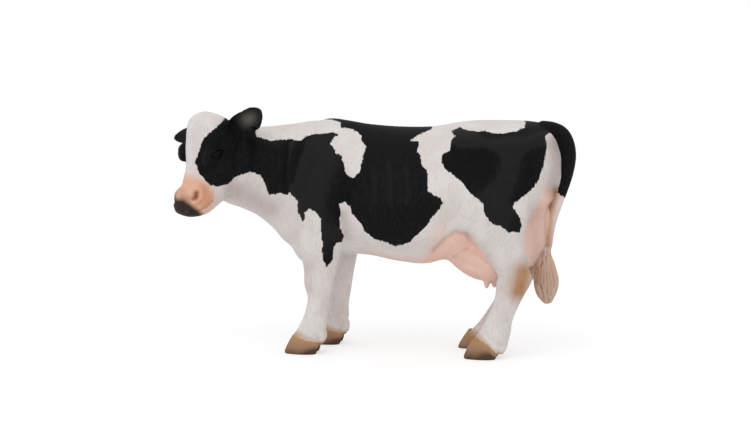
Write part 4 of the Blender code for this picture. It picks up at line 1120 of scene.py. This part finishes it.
    def soften(self, skin: Skin) -> None:
        """Rounds the creases where forms meet, strongly on the body and hardly at all on the feet."""
        weight = np.array([SOFTNESS.get(label, 1.0) for label in LABELS])[skin.label]
        for labels, least, low, high in CRISP_FEET:
            share = least + (1 - least) * soft_step(low, high, skin.points[:, 2])
            weight *= np.where(skin.has(*labels), share, 1)
        weight = skin.relaxed(weight, 1.0, self.soften_rounds)
        skin.points = skin.relaxed(skin.points, weight, self.soften_rounds)
        pixels = VIEW.pixels(self.left_twin(skin)[0])
        melted = np.clip(sum(line.relief(pixels) for line in SOFT_LINES), 0, 1)
        melted[skin.has(Label.TAIL)] = 0
        skin.points = skin.relaxed(skin.points, melted, self.melt_rounds)

    def left_twin(self, skin: Skin) -> tuple[Array, Array]:
        """Each point's mirror image on the side that the photograph shows.

        Returns:
            The points, and how squarely each faces the camera, from -1 to 1.
        """
        points, normals = skin.points.copy(), skin.normals()
        head = skin.has(Label.HEAD, *EARS)
        right = ~head & (points[:, 1] > 0)
        for leg in self.legs:
            own = skin.has(leg.label)
            points[own, 0] -= leg.stride(points[own, 2])
        points[right, 1] *= -1
        normals[right, 1] *= -1
        far = head & (self.head.local(points)[:, 1] < 0)
        along, left, deep = self.head.local(points[far]).T
        points[far] = self.head.place(along, np.abs(left), deep)
        side = self.head.axes()[1]
        normals[far] -= 2 * (normals[far] @ side)[:, None] * side
        return points, normals @ VIEW.towards()

    def carve(self, skin: Skin) -> None:
        """Raises the ridges and sinks the grooves along the normals, and notes the relief and the creases for
        the painted highlight and shade.
        """
        twins, facing = self.left_twin(skin)
        pixels = VIEW.pixels(twins)
        relief = np.zeros(len(skin.points))
        for marks, labels in CARVING:
            own = np.flatnonzero(skin.has(*labels))
            relief[own] += sum(mark.relief(pixels[own]) for mark in marks)
        relief *= soft_step(*self.facing_fade, facing)
        relief = skin.relaxed(relief, skin.near_seams(self.soften_rounds // 3), self.soften_rounds)
        head, tail = skin.has(Label.HEAD), skin.has(Label.TAIL)
        # The relief, kept as paint for the painted highlight on the black's ridges and the painted shade in
        # its grooves
        skin.paint["ridge"] = np.clip(relief / self.full_ridge, -1, 1) * np.where(head, self.crisp, 1)
        skin.points = skin.points + skin.normals() * relief[:, None]
        skin.points = skin.relaxed(skin.points, np.where(head | tail, self.crisp, 1.0), 2)
        skin.points[:, 2] = np.maximum(skin.points[:, 2], 0)
        # How deep each point lies in a hollow, which the coat darkens as painted shade
        hollow = ((skin.relaxed(skin.points, 1.0, 8) - skin.points) * skin.normals()).sum(1)
        skin.paint["crease"] = np.clip(hollow / np.where(tail, self.tail_hollow_mm, self.hollow_mm), -1, 1)

    def black(self, skin: Skin, twin: Array) -> Array:
        """How deep in the black patches each point lies, less than zero on the white.

        Args:
            skin: the labelled skin.
            twin: where the photograph shows each point's twin on the left side, in pixels.

        Returns:
            One depth in mm a point.
        """
        local = self.head.local(skin.points)
        left = patch_depth(VIEW.pixels(skin.points), *LEFT_COAT) * VIEW.mm_per_pixel
        rounded = (rows_through(np.reshape(outline + outline[:2], (-1, 2)), 3) for outline in RIGHT_COAT)
        right = patch_depth(skin.points[:, [0, 2]], *rounded)
        side = soft_step(-self.back_blend, self.back_blend, skin.points[:, 1])
        black = left * (1 - side) + right * side
        head, tail = skin.has(Label.HEAD), skin.has(Label.TAIL)
        edge = np.interp(local[:, 0], *np.array(FAR_BLAZE_EDGE).T)
        far = np.minimum(-local[:, 1] - edge, self.face_end - local[:, 0])
        black[head] = np.where(local[:, 1] < 0, far, left)[head]
        black[tail] = patch_depth(twin[tail], TAIL_COAT) * VIEW.mm_per_pixel
        bare = skin.has(Label.UDDER) | (head & (np.abs(local[:, 1]) < self.blaze_half))
        black[bare] = np.minimum(black[bare], self.bare)
        black[skin.has(*EARS)] = 3
        return black

    def glow(self, skin: Skin) -> Array:
        """How strongly the cup of each ear glows: e^-(u^2 + v^2) of the place in it."""
        glow = np.zeros(len(skin.points))
        normals = skin.normals()
        for ear in self.ears:
            own = skin.has(ear.label)
            spot = (ear.local(skin.points[own])[:, :2] - self.glow_place) / self.glow_reach
            glow[own] = (normals[own] @ ear.axes()[2] > 0.2) * ear.glow * np.exp(-(spot**2).sum(1))
        return glow

    def paint(self, skin: Skin) -> None:
        """Works out where each colour goes, as amounts and as depths in mm at the points."""
        twin = VIEW.pixels(self.left_twin(skin)[0])
        x, _, z = skin.points.T
        head, tail, udder = (skin.has(label) for label in (Label.HEAD, Label.TAIL, Label.UDDER))
        inside = soft_step(*self.patch_edge, patch_depth(twin, *PINK_PATCHES) * VIEW.mm_per_pixel)
        pale = np.where(x > self.thigh_x, self.pale_pink, 1)
        pink = np.where(skin.has(*TRUNK), np.maximum(strongest(PINK_WASHES, twin), inside * pale), 0)
        pink[udder] = np.maximum(soft_step(*self.udder_pink, x[udder]), self.pale_pink * inside[udder])
        band = soft_step(*self.bare_tail, z[tail])
        low, more = self.tail_pink
        pink[tail] = band * (low + more * soft_step(*self.pink_tail, z[tail]))
        tan = np.where(skin.has(*LEGS, *BODY, Label.TAIL), strongest(TAN_WASHES, twin), 0)
        # Tan on the shaft's side that faces the rump is painted shade; the switch's gold is the colour of its
        # hair
        inward = soft_step(*self.inward, skin.normals()[tail, 0])
        shaft, locks = self.tail_shade_and_gold
        gold = shaft * band * inward + locks * soft_step(*self.switch, z[tail]) * (1 - 0.5 * inward)
        tan[tail] = np.maximum(tan[tail], gold)
        # Painted shade from the washes above, kept off the legs, ears and tail
        shade = strongest(SHADE_WASHES, twin)
        shade[skin.has(*LEGS, *EARS, Label.TAIL)] = 0
        hoof = np.full(len(x), -5.0)
        for leg in self.legs:
            own = skin.has(leg.label)
            hoof[own] = leg.hoof_depth(skin.points[own])
        # Painted shade on the far hind hoof
        shade[skin.has(Label.RIGHT_HIND_LEG) & (hoof > 0)] = 1
        most, above, fade = self.hoof_gold
        tan = np.maximum(tan, most * np.exp(-(((hoof + above) / fade) ** 2)))
        muzzle = np.full(len(x), -9.0)
        muzzle[head] = patch_depth(twin[head], MUZZLE) * VIEW.mm_per_pixel
        smudge = np.zeros(len(x))
        smudge[head] = soft_step(*self.smudge_edge, patch_depth(twin[head], SMUDGE) * VIEW.mm_per_pixel)
        skin.paint.update(
            black=self.black(skin, twin), pink=pink, tan=tan, hoof=hoof, muzzle=muzzle, smudge=smudge,
            blush=strongest(BLUSH_WASHES, twin) * head, glow=self.glow(skin), shade=shade,
        )
        for name in ("black", "pink", "tan", "shade"):
            skin.paint[name] = skin.relaxed(skin.paint[name], skin.near_seams(2), 4)

    def straighten(self, skin: Skin) -> Array:
        """Labels of the faces, with the points between two pieces drawn onto the seams' planes."""
        face_label = np.sort(skin.label[skin.quads], axis=1)[:, 1]
        skin.smooth = skin.normals()
        planes = [
            (*TRUNK, (np.zeros(3), Y_AXIS)),
            *((shell, Label.NECK, self.trunk.collar()) for shell in TRUNK),
            (Label.NECK, Label.HEAD, self.head.throat()),
            *((TRUNK[leg.side is Side.RIGHT], leg.label, (Z_AXIS * leg.seam, Z_AXIS)) for leg in self.legs),
        ]
        for first, second, (point, normal) in planes:
            shared = np.intersect1d(*(skin.quads[face_label == NUMBER[label]] for label in (first, second)))
            offset = (skin.points[shared] - point) @ normal
            outwards = skin.smooth[shared]
            slide = normal - outwards * (outwards @ normal)[:, None]
            steep = (slide**2).sum(1)
            close = (np.abs(offset) < 2 * self.voxel) & (steep > self.least_slope)
            skin.points[shared[close]] -= (offset / steep)[close, None] * slide[close]
        return face_label


# Finishes


def linear(code: str) -> Row:
    """An sRGB hex colour as linear values with full alpha."""
    values = [int(code[i : i + 2], 16) / 255 for i in (0, 2, 4)]
    turned = [v / 12.92 if v <= 0.04045 else ((v + 0.055) / 1.055) ** 2.4 for v in values]
    return (*turned, 1.0)


def add_node(tree: bpy.types.NodeTree, kind: str, settings: dict | None = None, inputs: dict | None = None):
    """Adds a node, sets its properties, and fills or links its inputs.

    Args:
        tree: the material's tree.
        kind: the node's type name after ShaderNode.
        settings: its properties by name.
        inputs: its inputs by name or number, each a value or an output to link from.

    Returns:
        The node.
    """
    node = tree.nodes.new("ShaderNode" + kind)
    for name, value in (settings or {}).items():
        setattr(node, name, value)
    fill(tree, node, inputs or {})
    return node


def fill(tree: bpy.types.NodeTree, node: bpy.types.Node, inputs: dict) -> None:
    """Links a node's inputs to the outputs that are given, and sets the others' values."""
    for key, value in inputs.items():
        if isinstance(value, bpy.types.NodeSocket):
            tree.links.new(value, node.inputs[key])
        else:
            node.inputs[key].default_value = value


def new_material(name: str) -> tuple[bpy.types.Material, bpy.types.NodeTree, bpy.types.Node]:
    """A new material with its tree and its surface node."""
    made = bpy.data.materials.new(name)
    made.use_nodes = True
    return made, made.node_tree, made.node_tree.nodes["Principled BSDF"]


@dataclass(frozen=True)
class Layer:
    """One coat of paint: a colour, where it goes, and how strongly.

    It grows from nothing where its source is low to its full strength where it is high, and
    stays within an earlier layer where one is named.
    """

    name: str
    source: str
    low: float
    high: float
    strength: float
    colour: str
    within: str = ""
    blend: str = "MIX"
    curve: str = "SMOOTHSTEP"


# Fine random patterns drawn out upwards: width and length in mm, and detail
GRAINS: dict[str, Triple] = {
    "hair": (0.42, 2.6, 1.5), "ragged": (1.3, 1.9, 3.0), "speck": (1.2, 1.2, 3.0), "cloud": (7.0, 9.0, 2.0),
}
PAINTS = ("black", "pink", "tan", "hoof", "muzzle", "blush", "smudge", "glow", "shade", "crease", "ridge")
# Edges that grains make ragged: the paint each comes from, and how far, in mm, each grain moves it
EDGES: dict[str, tuple[str, dict[str, float]]] = {
    "coat_edge": ("black", {"ragged": 0.75, "hair": 0.5}),
    "hair_line": ("hoof", {"ragged": 0.7, "hair": 1.1}),
}
LAYERS: tuple[Layer, ...] = (
    Layer("haze", "cloud", 0.3, 0.7, 1.0, "D9D2CF"),
    Layer("engraved_hair", "hair", 0.48, 0.78, 0.55, "C4BAB6"),
    Layer("grime", "speck", 0.55, 0.85, 0.3, "CFC0B8"),
    Layer("tan", "tan", 0.0, 1.0, 1.0, "AA764A", curve="LINEAR"),
    Layer("dry_brushed_tan", "hair", 0.4, 0.75, 0.3, "D8BC98", "tan"),
    Layer("pink", "pink", 0.0, 1.0, 1.0, "EEC8B9", curve="LINEAR"),
    Layer("pink_mottle", "speck", 0.45, 0.8, 0.3, "D8A898", "pink"),
    Layer("muzzle", "muzzle", -2.2, 2.0, 1.0, "E5B9A0"),
    Layer("muzzle_mottle", "speck", 0.45, 0.8, 0.2, "C78C6C", "muzzle"),
    Layer("blush", "blush", 0.0, 1.0, 0.8, "CB8458", "muzzle", curve="LINEAR"),
    # Painted shade, multiplied over the colours below
    Layer("painted_shade_wash", "shade", 0.0, 1.0, 1.0, "D3CBC8", blend="MULTIPLY", curve="LINEAR"),
    Layer("smudge", "smudge", 0.0, 1.0, 0.97, "1E1B1B", curve="LINEAR"),
    Layer("smudge_mottle", "speck", 0.5, 0.8, 0.5, "6B5B53", "smudge"),
    Layer("golden_haze", "hair_line", -3.4, 0.2, 0.45, "C8A77C"),
    Layer("golden_hoof_rim", "hair_line", -0.5, 0.7, 1.0, "B08B5F"),
    Layer("horn", "hair_line", 0.8, 3.2, 1.0, "A58268"),
    # Darker towards the sole and the heel
    Layer("darker_sole_and_heel", "hoof", 3.0, 8.0, 0.92, "4E3A2E"),
    Layer("black", "coat_edge", -0.12, 0.12, 1.0, "0D0D0E"),
    Layer("black_hair", "hair", 0.45, 0.8, 1.0, "1D1D1E", "black"),
    # Painted highlight on the ridges and painted shade in the grooves of the black patches
    Layer("painted_highlight_on_black_ridges", "ridge", 0.05, 0.9, 0.45, "2A2A2B", "black"),
    Layer("painted_shade_in_black_grooves", "ridge", -0.05, -0.9, 0.4, "050505", "black"),
    Layer("ear_lining", "glow", 0.0, 1.0, 1.0, "7E7B72", curve="LINEAR"),
    # Painted shade: the hollows of the skin darkened warm brown by how deep they are
    Layer("painted_shade_in_hollows", "crease", 0.0, 1.0, 0.3, "8A6A5A", blend="MULTIPLY", curve="LINEAR"),
)


@dataclass(frozen=True)
class PaintedVinyl:
    """Soft moulded PVC, painted by hand with matt acrylics.

    The eye gets an even, slightly silky surface with short engraved hair, warm painted
    shade in the hollows, and black patches with ragged brushed edges, painted highlight on
    their ridges and painted shade in their grooves.
    """

    name: str = "painted_vinyl_coat"
    ground: str = "E1DBD9"
    roughness: float = 0.62
    specular: float = 0.09
    bump_strength: float = 0.8
    hair_bump_mm: float = 0.36
    grain_roughness: float = 0.6
    grain_range: tuple[float, float] = (0.2, 0.8)

    def sources(self, tree: bpy.types.NodeTree) -> dict[str, bpy.types.NodeSocket]:
        """What the layers grow with: the points' paint, the grains, and the edges they make ragged."""
        place = add_node(tree, "TexCoord").outputs["Object"]
        found = {
            name: add_node(tree, "Attribute", {"attribute_name": name}).outputs["Fac"] for name in PAINTS
        }
        for name, (width, length, detail) in GRAINS.items():
            scale = tuple(1 / (size * MM) for size in (width, width, length))
            spot = add_node(tree, "Mapping", None, {"Vector": place, "Scale": scale}).outputs[0]
            noise = {"Vector": spot, "Scale": 1.0, "Detail": detail, "Roughness": self.grain_roughness}
            found[name] = add_node(tree, "TexNoise", None, noise).outputs["Fac"]
        low, high = self.grain_range
        for edge, (paint, gains) in EDGES.items():
            found[edge] = found[paint]
            for name, gain in gains.items():
                moved = add_node(tree, "MapRange", None, {
                    "Value": found[name], "From Min": low, "From Max": high,
                    "To Min": -gain / 2, "To Max": gain / 2,
                })
                found[edge] = add_node(tree, "Math", None, {0: found[edge], 1: moved.outputs[0]}).outputs[0]
        return found

    def material(self) -> bpy.types.Material:
        """The coat's material, which lays the layers over the ground by the points' paint."""
        made, tree, surface = new_material(self.name)
        sources = self.sources(tree)
        amounts = {}
        colour = linear(self.ground)
        for layer in LAYERS:
            amount = add_node(tree, "MapRange", {"interpolation_type": layer.curve}, {
                "Value": sources[layer.source], "From Min": layer.low, "From Max": layer.high,
                "To Max": layer.strength,
            }).outputs[0]
            if layer.within:
                both = {0: amount, 1: amounts[layer.within]}
                amount = add_node(tree, "Math", {"operation": "MULTIPLY"}, both).outputs[0]
            amounts[layer.name] = amount
            mix = {"data_type": "RGBA", "blend_type": layer.blend}
            colour = add_node(tree, "Mix", mix, {0: amount, 6: colour, 7: linear(layer.colour)}).outputs[2]
        hair = {"Strength": self.bump_strength, "Distance": self.hair_bump_mm * MM, "Height": sources["hair"]}
        fill(tree, surface, {
            "Base Color": colour, "Roughness": self.roughness, "Specular IOR Level": self.specular,
            "Normal": add_node(tree, "Bump", None, hair).outputs[0],
        })
        return made


@dataclass(frozen=True)
class GlossyEye:
    """A dark brown eye painted on the vinyl under gloss varnish: deep, wet looking."""

    name: str = "varnished_eye"
    brown: str = "0A0706"
    pupil: str = "040303"
    cloud_scale: float = 900.0
    roughness: float = 0.12
    specular: float = 0.07

    def material(self) -> bpy.types.Material:
        """The eye's material."""
        made, tree, surface = new_material(self.name)
        place = add_node(tree, "TexCoord").outputs["Object"]
        cloud = add_node(tree, "TexNoise", None, {"Vector": place, "Scale": self.cloud_scale}).outputs["Fac"]
        tones = {0: cloud, 6: linear(self.brown), 7: linear(self.pupil)}
        colour = add_node(tree, "Mix", {"data_type": "RGBA"}, tones).outputs[2]
        fill(tree, surface, {
            "Base Color": colour, "Roughness": self.roughness, "Specular IOR Level": self.specular,
        })
        return made


# Parting the skin into pieces


@dataclass
class Parting:
    """Takes the pieces out of the skin, each closed inside by fans to hidden points."""

    cow: Cow
    skin: Skin
    face_label: Array
    shift: Array
    ear_depth: float = 1.5
    leg_depth: float = 0.5

    def __post_init__(self) -> None:
        """Places the hidden points, and lists each side of each square with its piece."""
        cow = self.cow
        self.root = {
            Label.UDDER: np.array([22.0, 0.0, 42.0]),
            Label.TAIL: np.array([36.0, 0.0, 66.0]),
            Label.HEAD: cow.head.throat()[0],
            Label.NECK: cow.trunk.collar()[0],
            **dict.fromkeys(TRUNK, np.array([0.0, 0.0, 56.0])),
            **{ear.label: ear.foot() - self.ear_depth * ear.axes()[0] for ear in cow.ears},
        }
        for leg in cow.legs:
            rows = leg.rows()[::-1]
            x, y = (np.interp(leg.seam, rows[:, 0], rows[:, k]) for k in (1, 4))
            self.root[leg.label] = np.array([x, y, leg.seam + self.leg_depth])
        codes = self.side_codes(self.skin.quads.ravel(), np.roll(self.skin.quads, -1, axis=1).ravel())
        order = np.argsort(codes)
        self.codes = codes[order]
        self.owners = np.repeat(self.face_label, 4)[order]

    def side_codes(self, start: Array, stop: Array) -> Array:
        """One whole number for each side of a square: start * number of points + stop."""
        return start.astype(np.int64) * len(self.skin.points) + stop

    def hidden_key(self, label: Label, other: Label) -> Label:
        """Whose hidden point closes a piece towards a neighbour: the outer one's of the two."""
        if label in LEAVES or label is other:
            return label
        if other in LEAVES:
            return other
        return next((outer for outer in (Label.HEAD, Label.NECK) if outer in (label, other)), label)

    def closing(self, label: Label, start: Array, stop: Array) -> tuple[Array, list[Label]]:
        """Triangles that close a piece along its open sides, and the hidden points they use.

        Each open side gets a triangle to its neighbour's hidden point, and where the
        neighbour changes along the rim, one more joins that point with the piece's own.

        Args:
            label: which piece.
            start: first points of its open sides.
            stop: their second points.

        Returns:
            Triangles, whose numbers below zero count back into the list of hidden points.
        """
        found = np.searchsorted(self.codes, self.side_codes(stop, start))
        beyond = self.owners[np.minimum(found, len(self.codes) - 1)]
        keys = [self.hidden_key(label, LABELS[number]) for number in beyond]
        wanted = [label, *sorted(set(keys) - {label}, key=NUMBER.get)]
        choice = np.array([wanted.index(key) for key in keys])
        parts = [np.stack([stop, start, -1 - choice], 1)]
        for number in range(1, len(wanted)):
            own = choice == number
            for one, two, ends in (
                (-1 - number, -1, np.setdiff1d(stop[own], start[own])),
                (-1, -1 - number, np.setdiff1d(start[own], stop[own])),
            ):
                parts.append(np.stack([ends, 0 * ends + one, 0 * ends + two], 1))
        return np.vstack(parts), wanted

    def piece(self, label: Label, material: bpy.types.Material) -> None:
        """Adds one closed piece of the skin, with its paint and the skin's own normals.

        Args:
            label: which piece.
            material: its finish.
        """
        skin = self.skin
        quads = skin.quads[self.face_label == NUMBER[label]]
        start = quads.ravel()
        stop = np.roll(quads, -1, axis=1).ravel()
        lone = ~np.isin(self.side_codes(start, stop), self.side_codes(stop, start))
        fans, wanted = self.closing(label, start[lone], stop[lone])
        used = np.unique(quads)
        points = np.vstack([skin.points[used], [self.root[key] for key in wanted]])
        quads = np.searchsorted(used, quads)
        fans = np.where(fans < 0, len(used) - 1 - fans, np.searchsorted(used, fans))
        corners = np.concatenate([quads.ravel(), fans.ravel()])
        starts = np.concatenate([np.arange(len(quads)) * 4, len(quads) * 4 + np.arange(len(fans)) * 3])
        mesh = bpy.data.meshes.new("painted_" + label.value)
        mesh.vertices.add(len(points))
        mesh.vertices.foreach_set("co", ((points + self.shift) * MM).ravel())
        mesh.loops.add(len(corners))
        mesh.loops.foreach_set("vertex_index", corners.astype(np.int32))
        mesh.polygons.add(len(starts))
        mesh.polygons.foreach_set("loop_start", starts.astype(np.int32))
        mesh.update(calc_edges=True)
        mesh.shade_smooth()
        a, b, c = (points[fans[:, k]] for k in range(3))
        across = np.cross(b - a, c - a)
        across /= np.maximum(lengths(across), 1e-9)
        normals = np.vstack([skin.smooth[used][quads.ravel()], np.repeat(across, 3, axis=0)])
        mesh.normals_split_custom_set(normals.tolist())
        for name, values in skin.paint.items():
            rim = np.full(len(wanted), values[start[lone]].mean())
            layer = mesh.attributes.new(name, "FLOAT", "POINT")
            layer.data.foreach_set("value", np.concatenate([values[used], rim]).astype(np.float32))
        mesh.materials.append(material)
        piece = put("painted_" + label.value, mesh)
        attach(piece, "root")
        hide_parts(label.value)
        log.info("%s: %d squares, %d closing triangles", piece.name, len(quads), len(fans))


@dataclass
class Eyes:
    """Two glossy almond eyes sunk between their lids, their outer corners up and back."""

    head: Head
    place: Triple = (12.6, 8.6, 3.6)
    radii: Triple = (2.7, 1.35, 1.75)
    tilt: float = math.radians(36)
    sides: int = 40

    def build(self, material: bpy.types.Material, shift: Array) -> None:
        """Adds both eyes as closed balls."""
        face, side, outwards = self.head.axes()
        cosine, sine = math.cos(self.tilt), math.sin(self.tilt)
        axes = np.array([-cosine * face - sine * outwards, cosine * outwards - sine * face, side])
        along, across, deep = self.place
        for sign, word in ((1, "left"), (-1, "right")):
            shell = ball(self.head.place(along, sign * across, deep), axes, self.radii, self.sides)
            mesh = bpy.data.meshes.new(word + "_eye")
            mesh.from_pydata(((shell.points + shift) * MM).tolist(), [], shell.triangles.tolist())
            mesh.shade_smooth()
            mesh.materials.append(material)
            eye = put(word + "_eye", mesh)
            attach(eye, "root")
            log.info("%s: %d triangles", eye.name, len(shell.triangles))


# The studio


@dataclass
class Studio:
    """A plain white sweep with soft light from above and in front."""

    floor_half: float = 6.0
    paper: float = 0.9
    floor_glow: float = 1.19
    glow_share: float = 0.5
    sky: float = 0.86
    white: float = 1.05
    key_power: float = 2.4
    key_size: tuple[float, float] = (0.9, 0.7)
    key_place: Triple = (-0.1, -0.5, 1.0)
    key_aim: Triple = (0, 0, 0.04)
    sensor: float = 36.0

    def floor(self) -> None:
        """The floor, which shows near white to the camera and keeps a soft shadow."""
        half = self.floor_half
        mesh = bpy.data.meshes.new("floor")
        corners = [(-half, -half, 0), (half, -half, 0), (half, half, 0), (-half, half, 0)]
        mesh.from_pydata(corners, [], [(0, 1, 2, 3)])
        made, tree, surface = new_material("white_paper_sweep")
        fill(tree, surface, {"Base Color": (self.paper, self.paper, self.paper, 1), "Roughness": self.paper})
        glow = add_node(tree, "Emission", None, {"Color": (1, 1, 1, 1), "Strength": self.floor_glow})
        seen = add_node(tree, "LightPath").outputs["Is Camera Ray"]
        share = add_node(tree, "Math", {"operation": "MULTIPLY"}, {0: seen, 1: self.glow_share})
        both = {0: share.outputs[0], 1: surface.outputs[0], 2: glow.outputs[0]}
        mixed = add_node(tree, "MixShader", None, both)
        fill(tree, tree.nodes["Material Output"], {"Surface": mixed.outputs[0]})
        mesh.materials.append(made)
        floor = put("floor", mesh)

    def sky_and_lamp(self) -> None:
        """An even white surround that shows pure white to the camera, and one wide soft lamp."""
        world = bpy.data.worlds.new("white_surround")
        bpy.context.scene.world = world
        world.use_nodes = True
        tree = world.node_tree
        seen = add_node(tree, "LightPath").outputs["Is Camera Ray"]
        strength = add_node(tree, "MapRange", None, {"Value": seen, "To Min": self.sky, "To Max": self.white})
        fill(tree, tree.nodes["Background"], {"Strength": strength.outputs[0], "Color": (1, 1, 1, 1)})
        lamp = bpy.data.lights.new("overhead_softbox", "AREA")
        lamp.energy = self.key_power
        lamp.shape = "RECTANGLE"
        lamp.size, lamp.size_y = self.key_size
        self.aim(put("overhead_softbox", lamp), Vector(self.key_place), Vector(self.key_aim))

    def aim(self, thing: bpy.types.Object, place: Vector, target: Vector) -> None:
        """Places a lamp or camera and turns it to a target."""
        thing.location = place
        thing.rotation_euler = (target - place).to_track_quat("-Z", "Y").to_euler()

    def camera(self, shift: Array) -> None:
        """The camera at the photograph's angle, a long lens far off."""
        data = bpy.data.cameras.new("camera")
        data.sensor_width = self.sensor
        data.lens = self.sensor * VIEW.distance / (VIEW.frame_size[0] * VIEW.mm_per_pixel)
        data.clip_start = 0.05
        data.clip_end = 50.0
        camera = put("camera", data)
        target = Vector((VIEW.target() + shift) * MM)
        self.aim(camera, target + Vector(VIEW.towards()) * VIEW.distance * MM, target)
        bpy.context.scene.camera = camera

    def build(self, shift: Array) -> None:
        """Sets up floor, light, camera and plain colour handling."""
        self.floor()
        self.sky_and_lamp()
        self.camera(shift)
        bpy.context.scene.view_settings.view_transform = "Standard"


def main() -> None:
    """Builds the dressed figure and the studio."""
    logging.basicConfig(level=logging.INFO, format="%(message)s")
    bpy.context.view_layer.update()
    cow = Cow()
    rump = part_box("trunk_left_shell")[1].x / MM
    shift = np.array([rump - cow.trunk.stations[-1][0] * cow.trunk.length, 0.0, 0.0])
    Studio().build(shift)
    skin = cow.grow()
    log.info("skin: %d points, shift %.3f mm", len(skin.points), shift[0])
    cow.soften(skin)
    cow.carve(skin)
    cow.paint(skin)
    parting = Parting(cow, skin, cow.straighten(skin), shift)
    coat = PaintedVinyl().material()
    for label in LABELS:
        parting.piece(label, coat)
    Eyes(cow.head).build(GlossyEye().material(), shift)


if __name__ == "__main__":
    main()
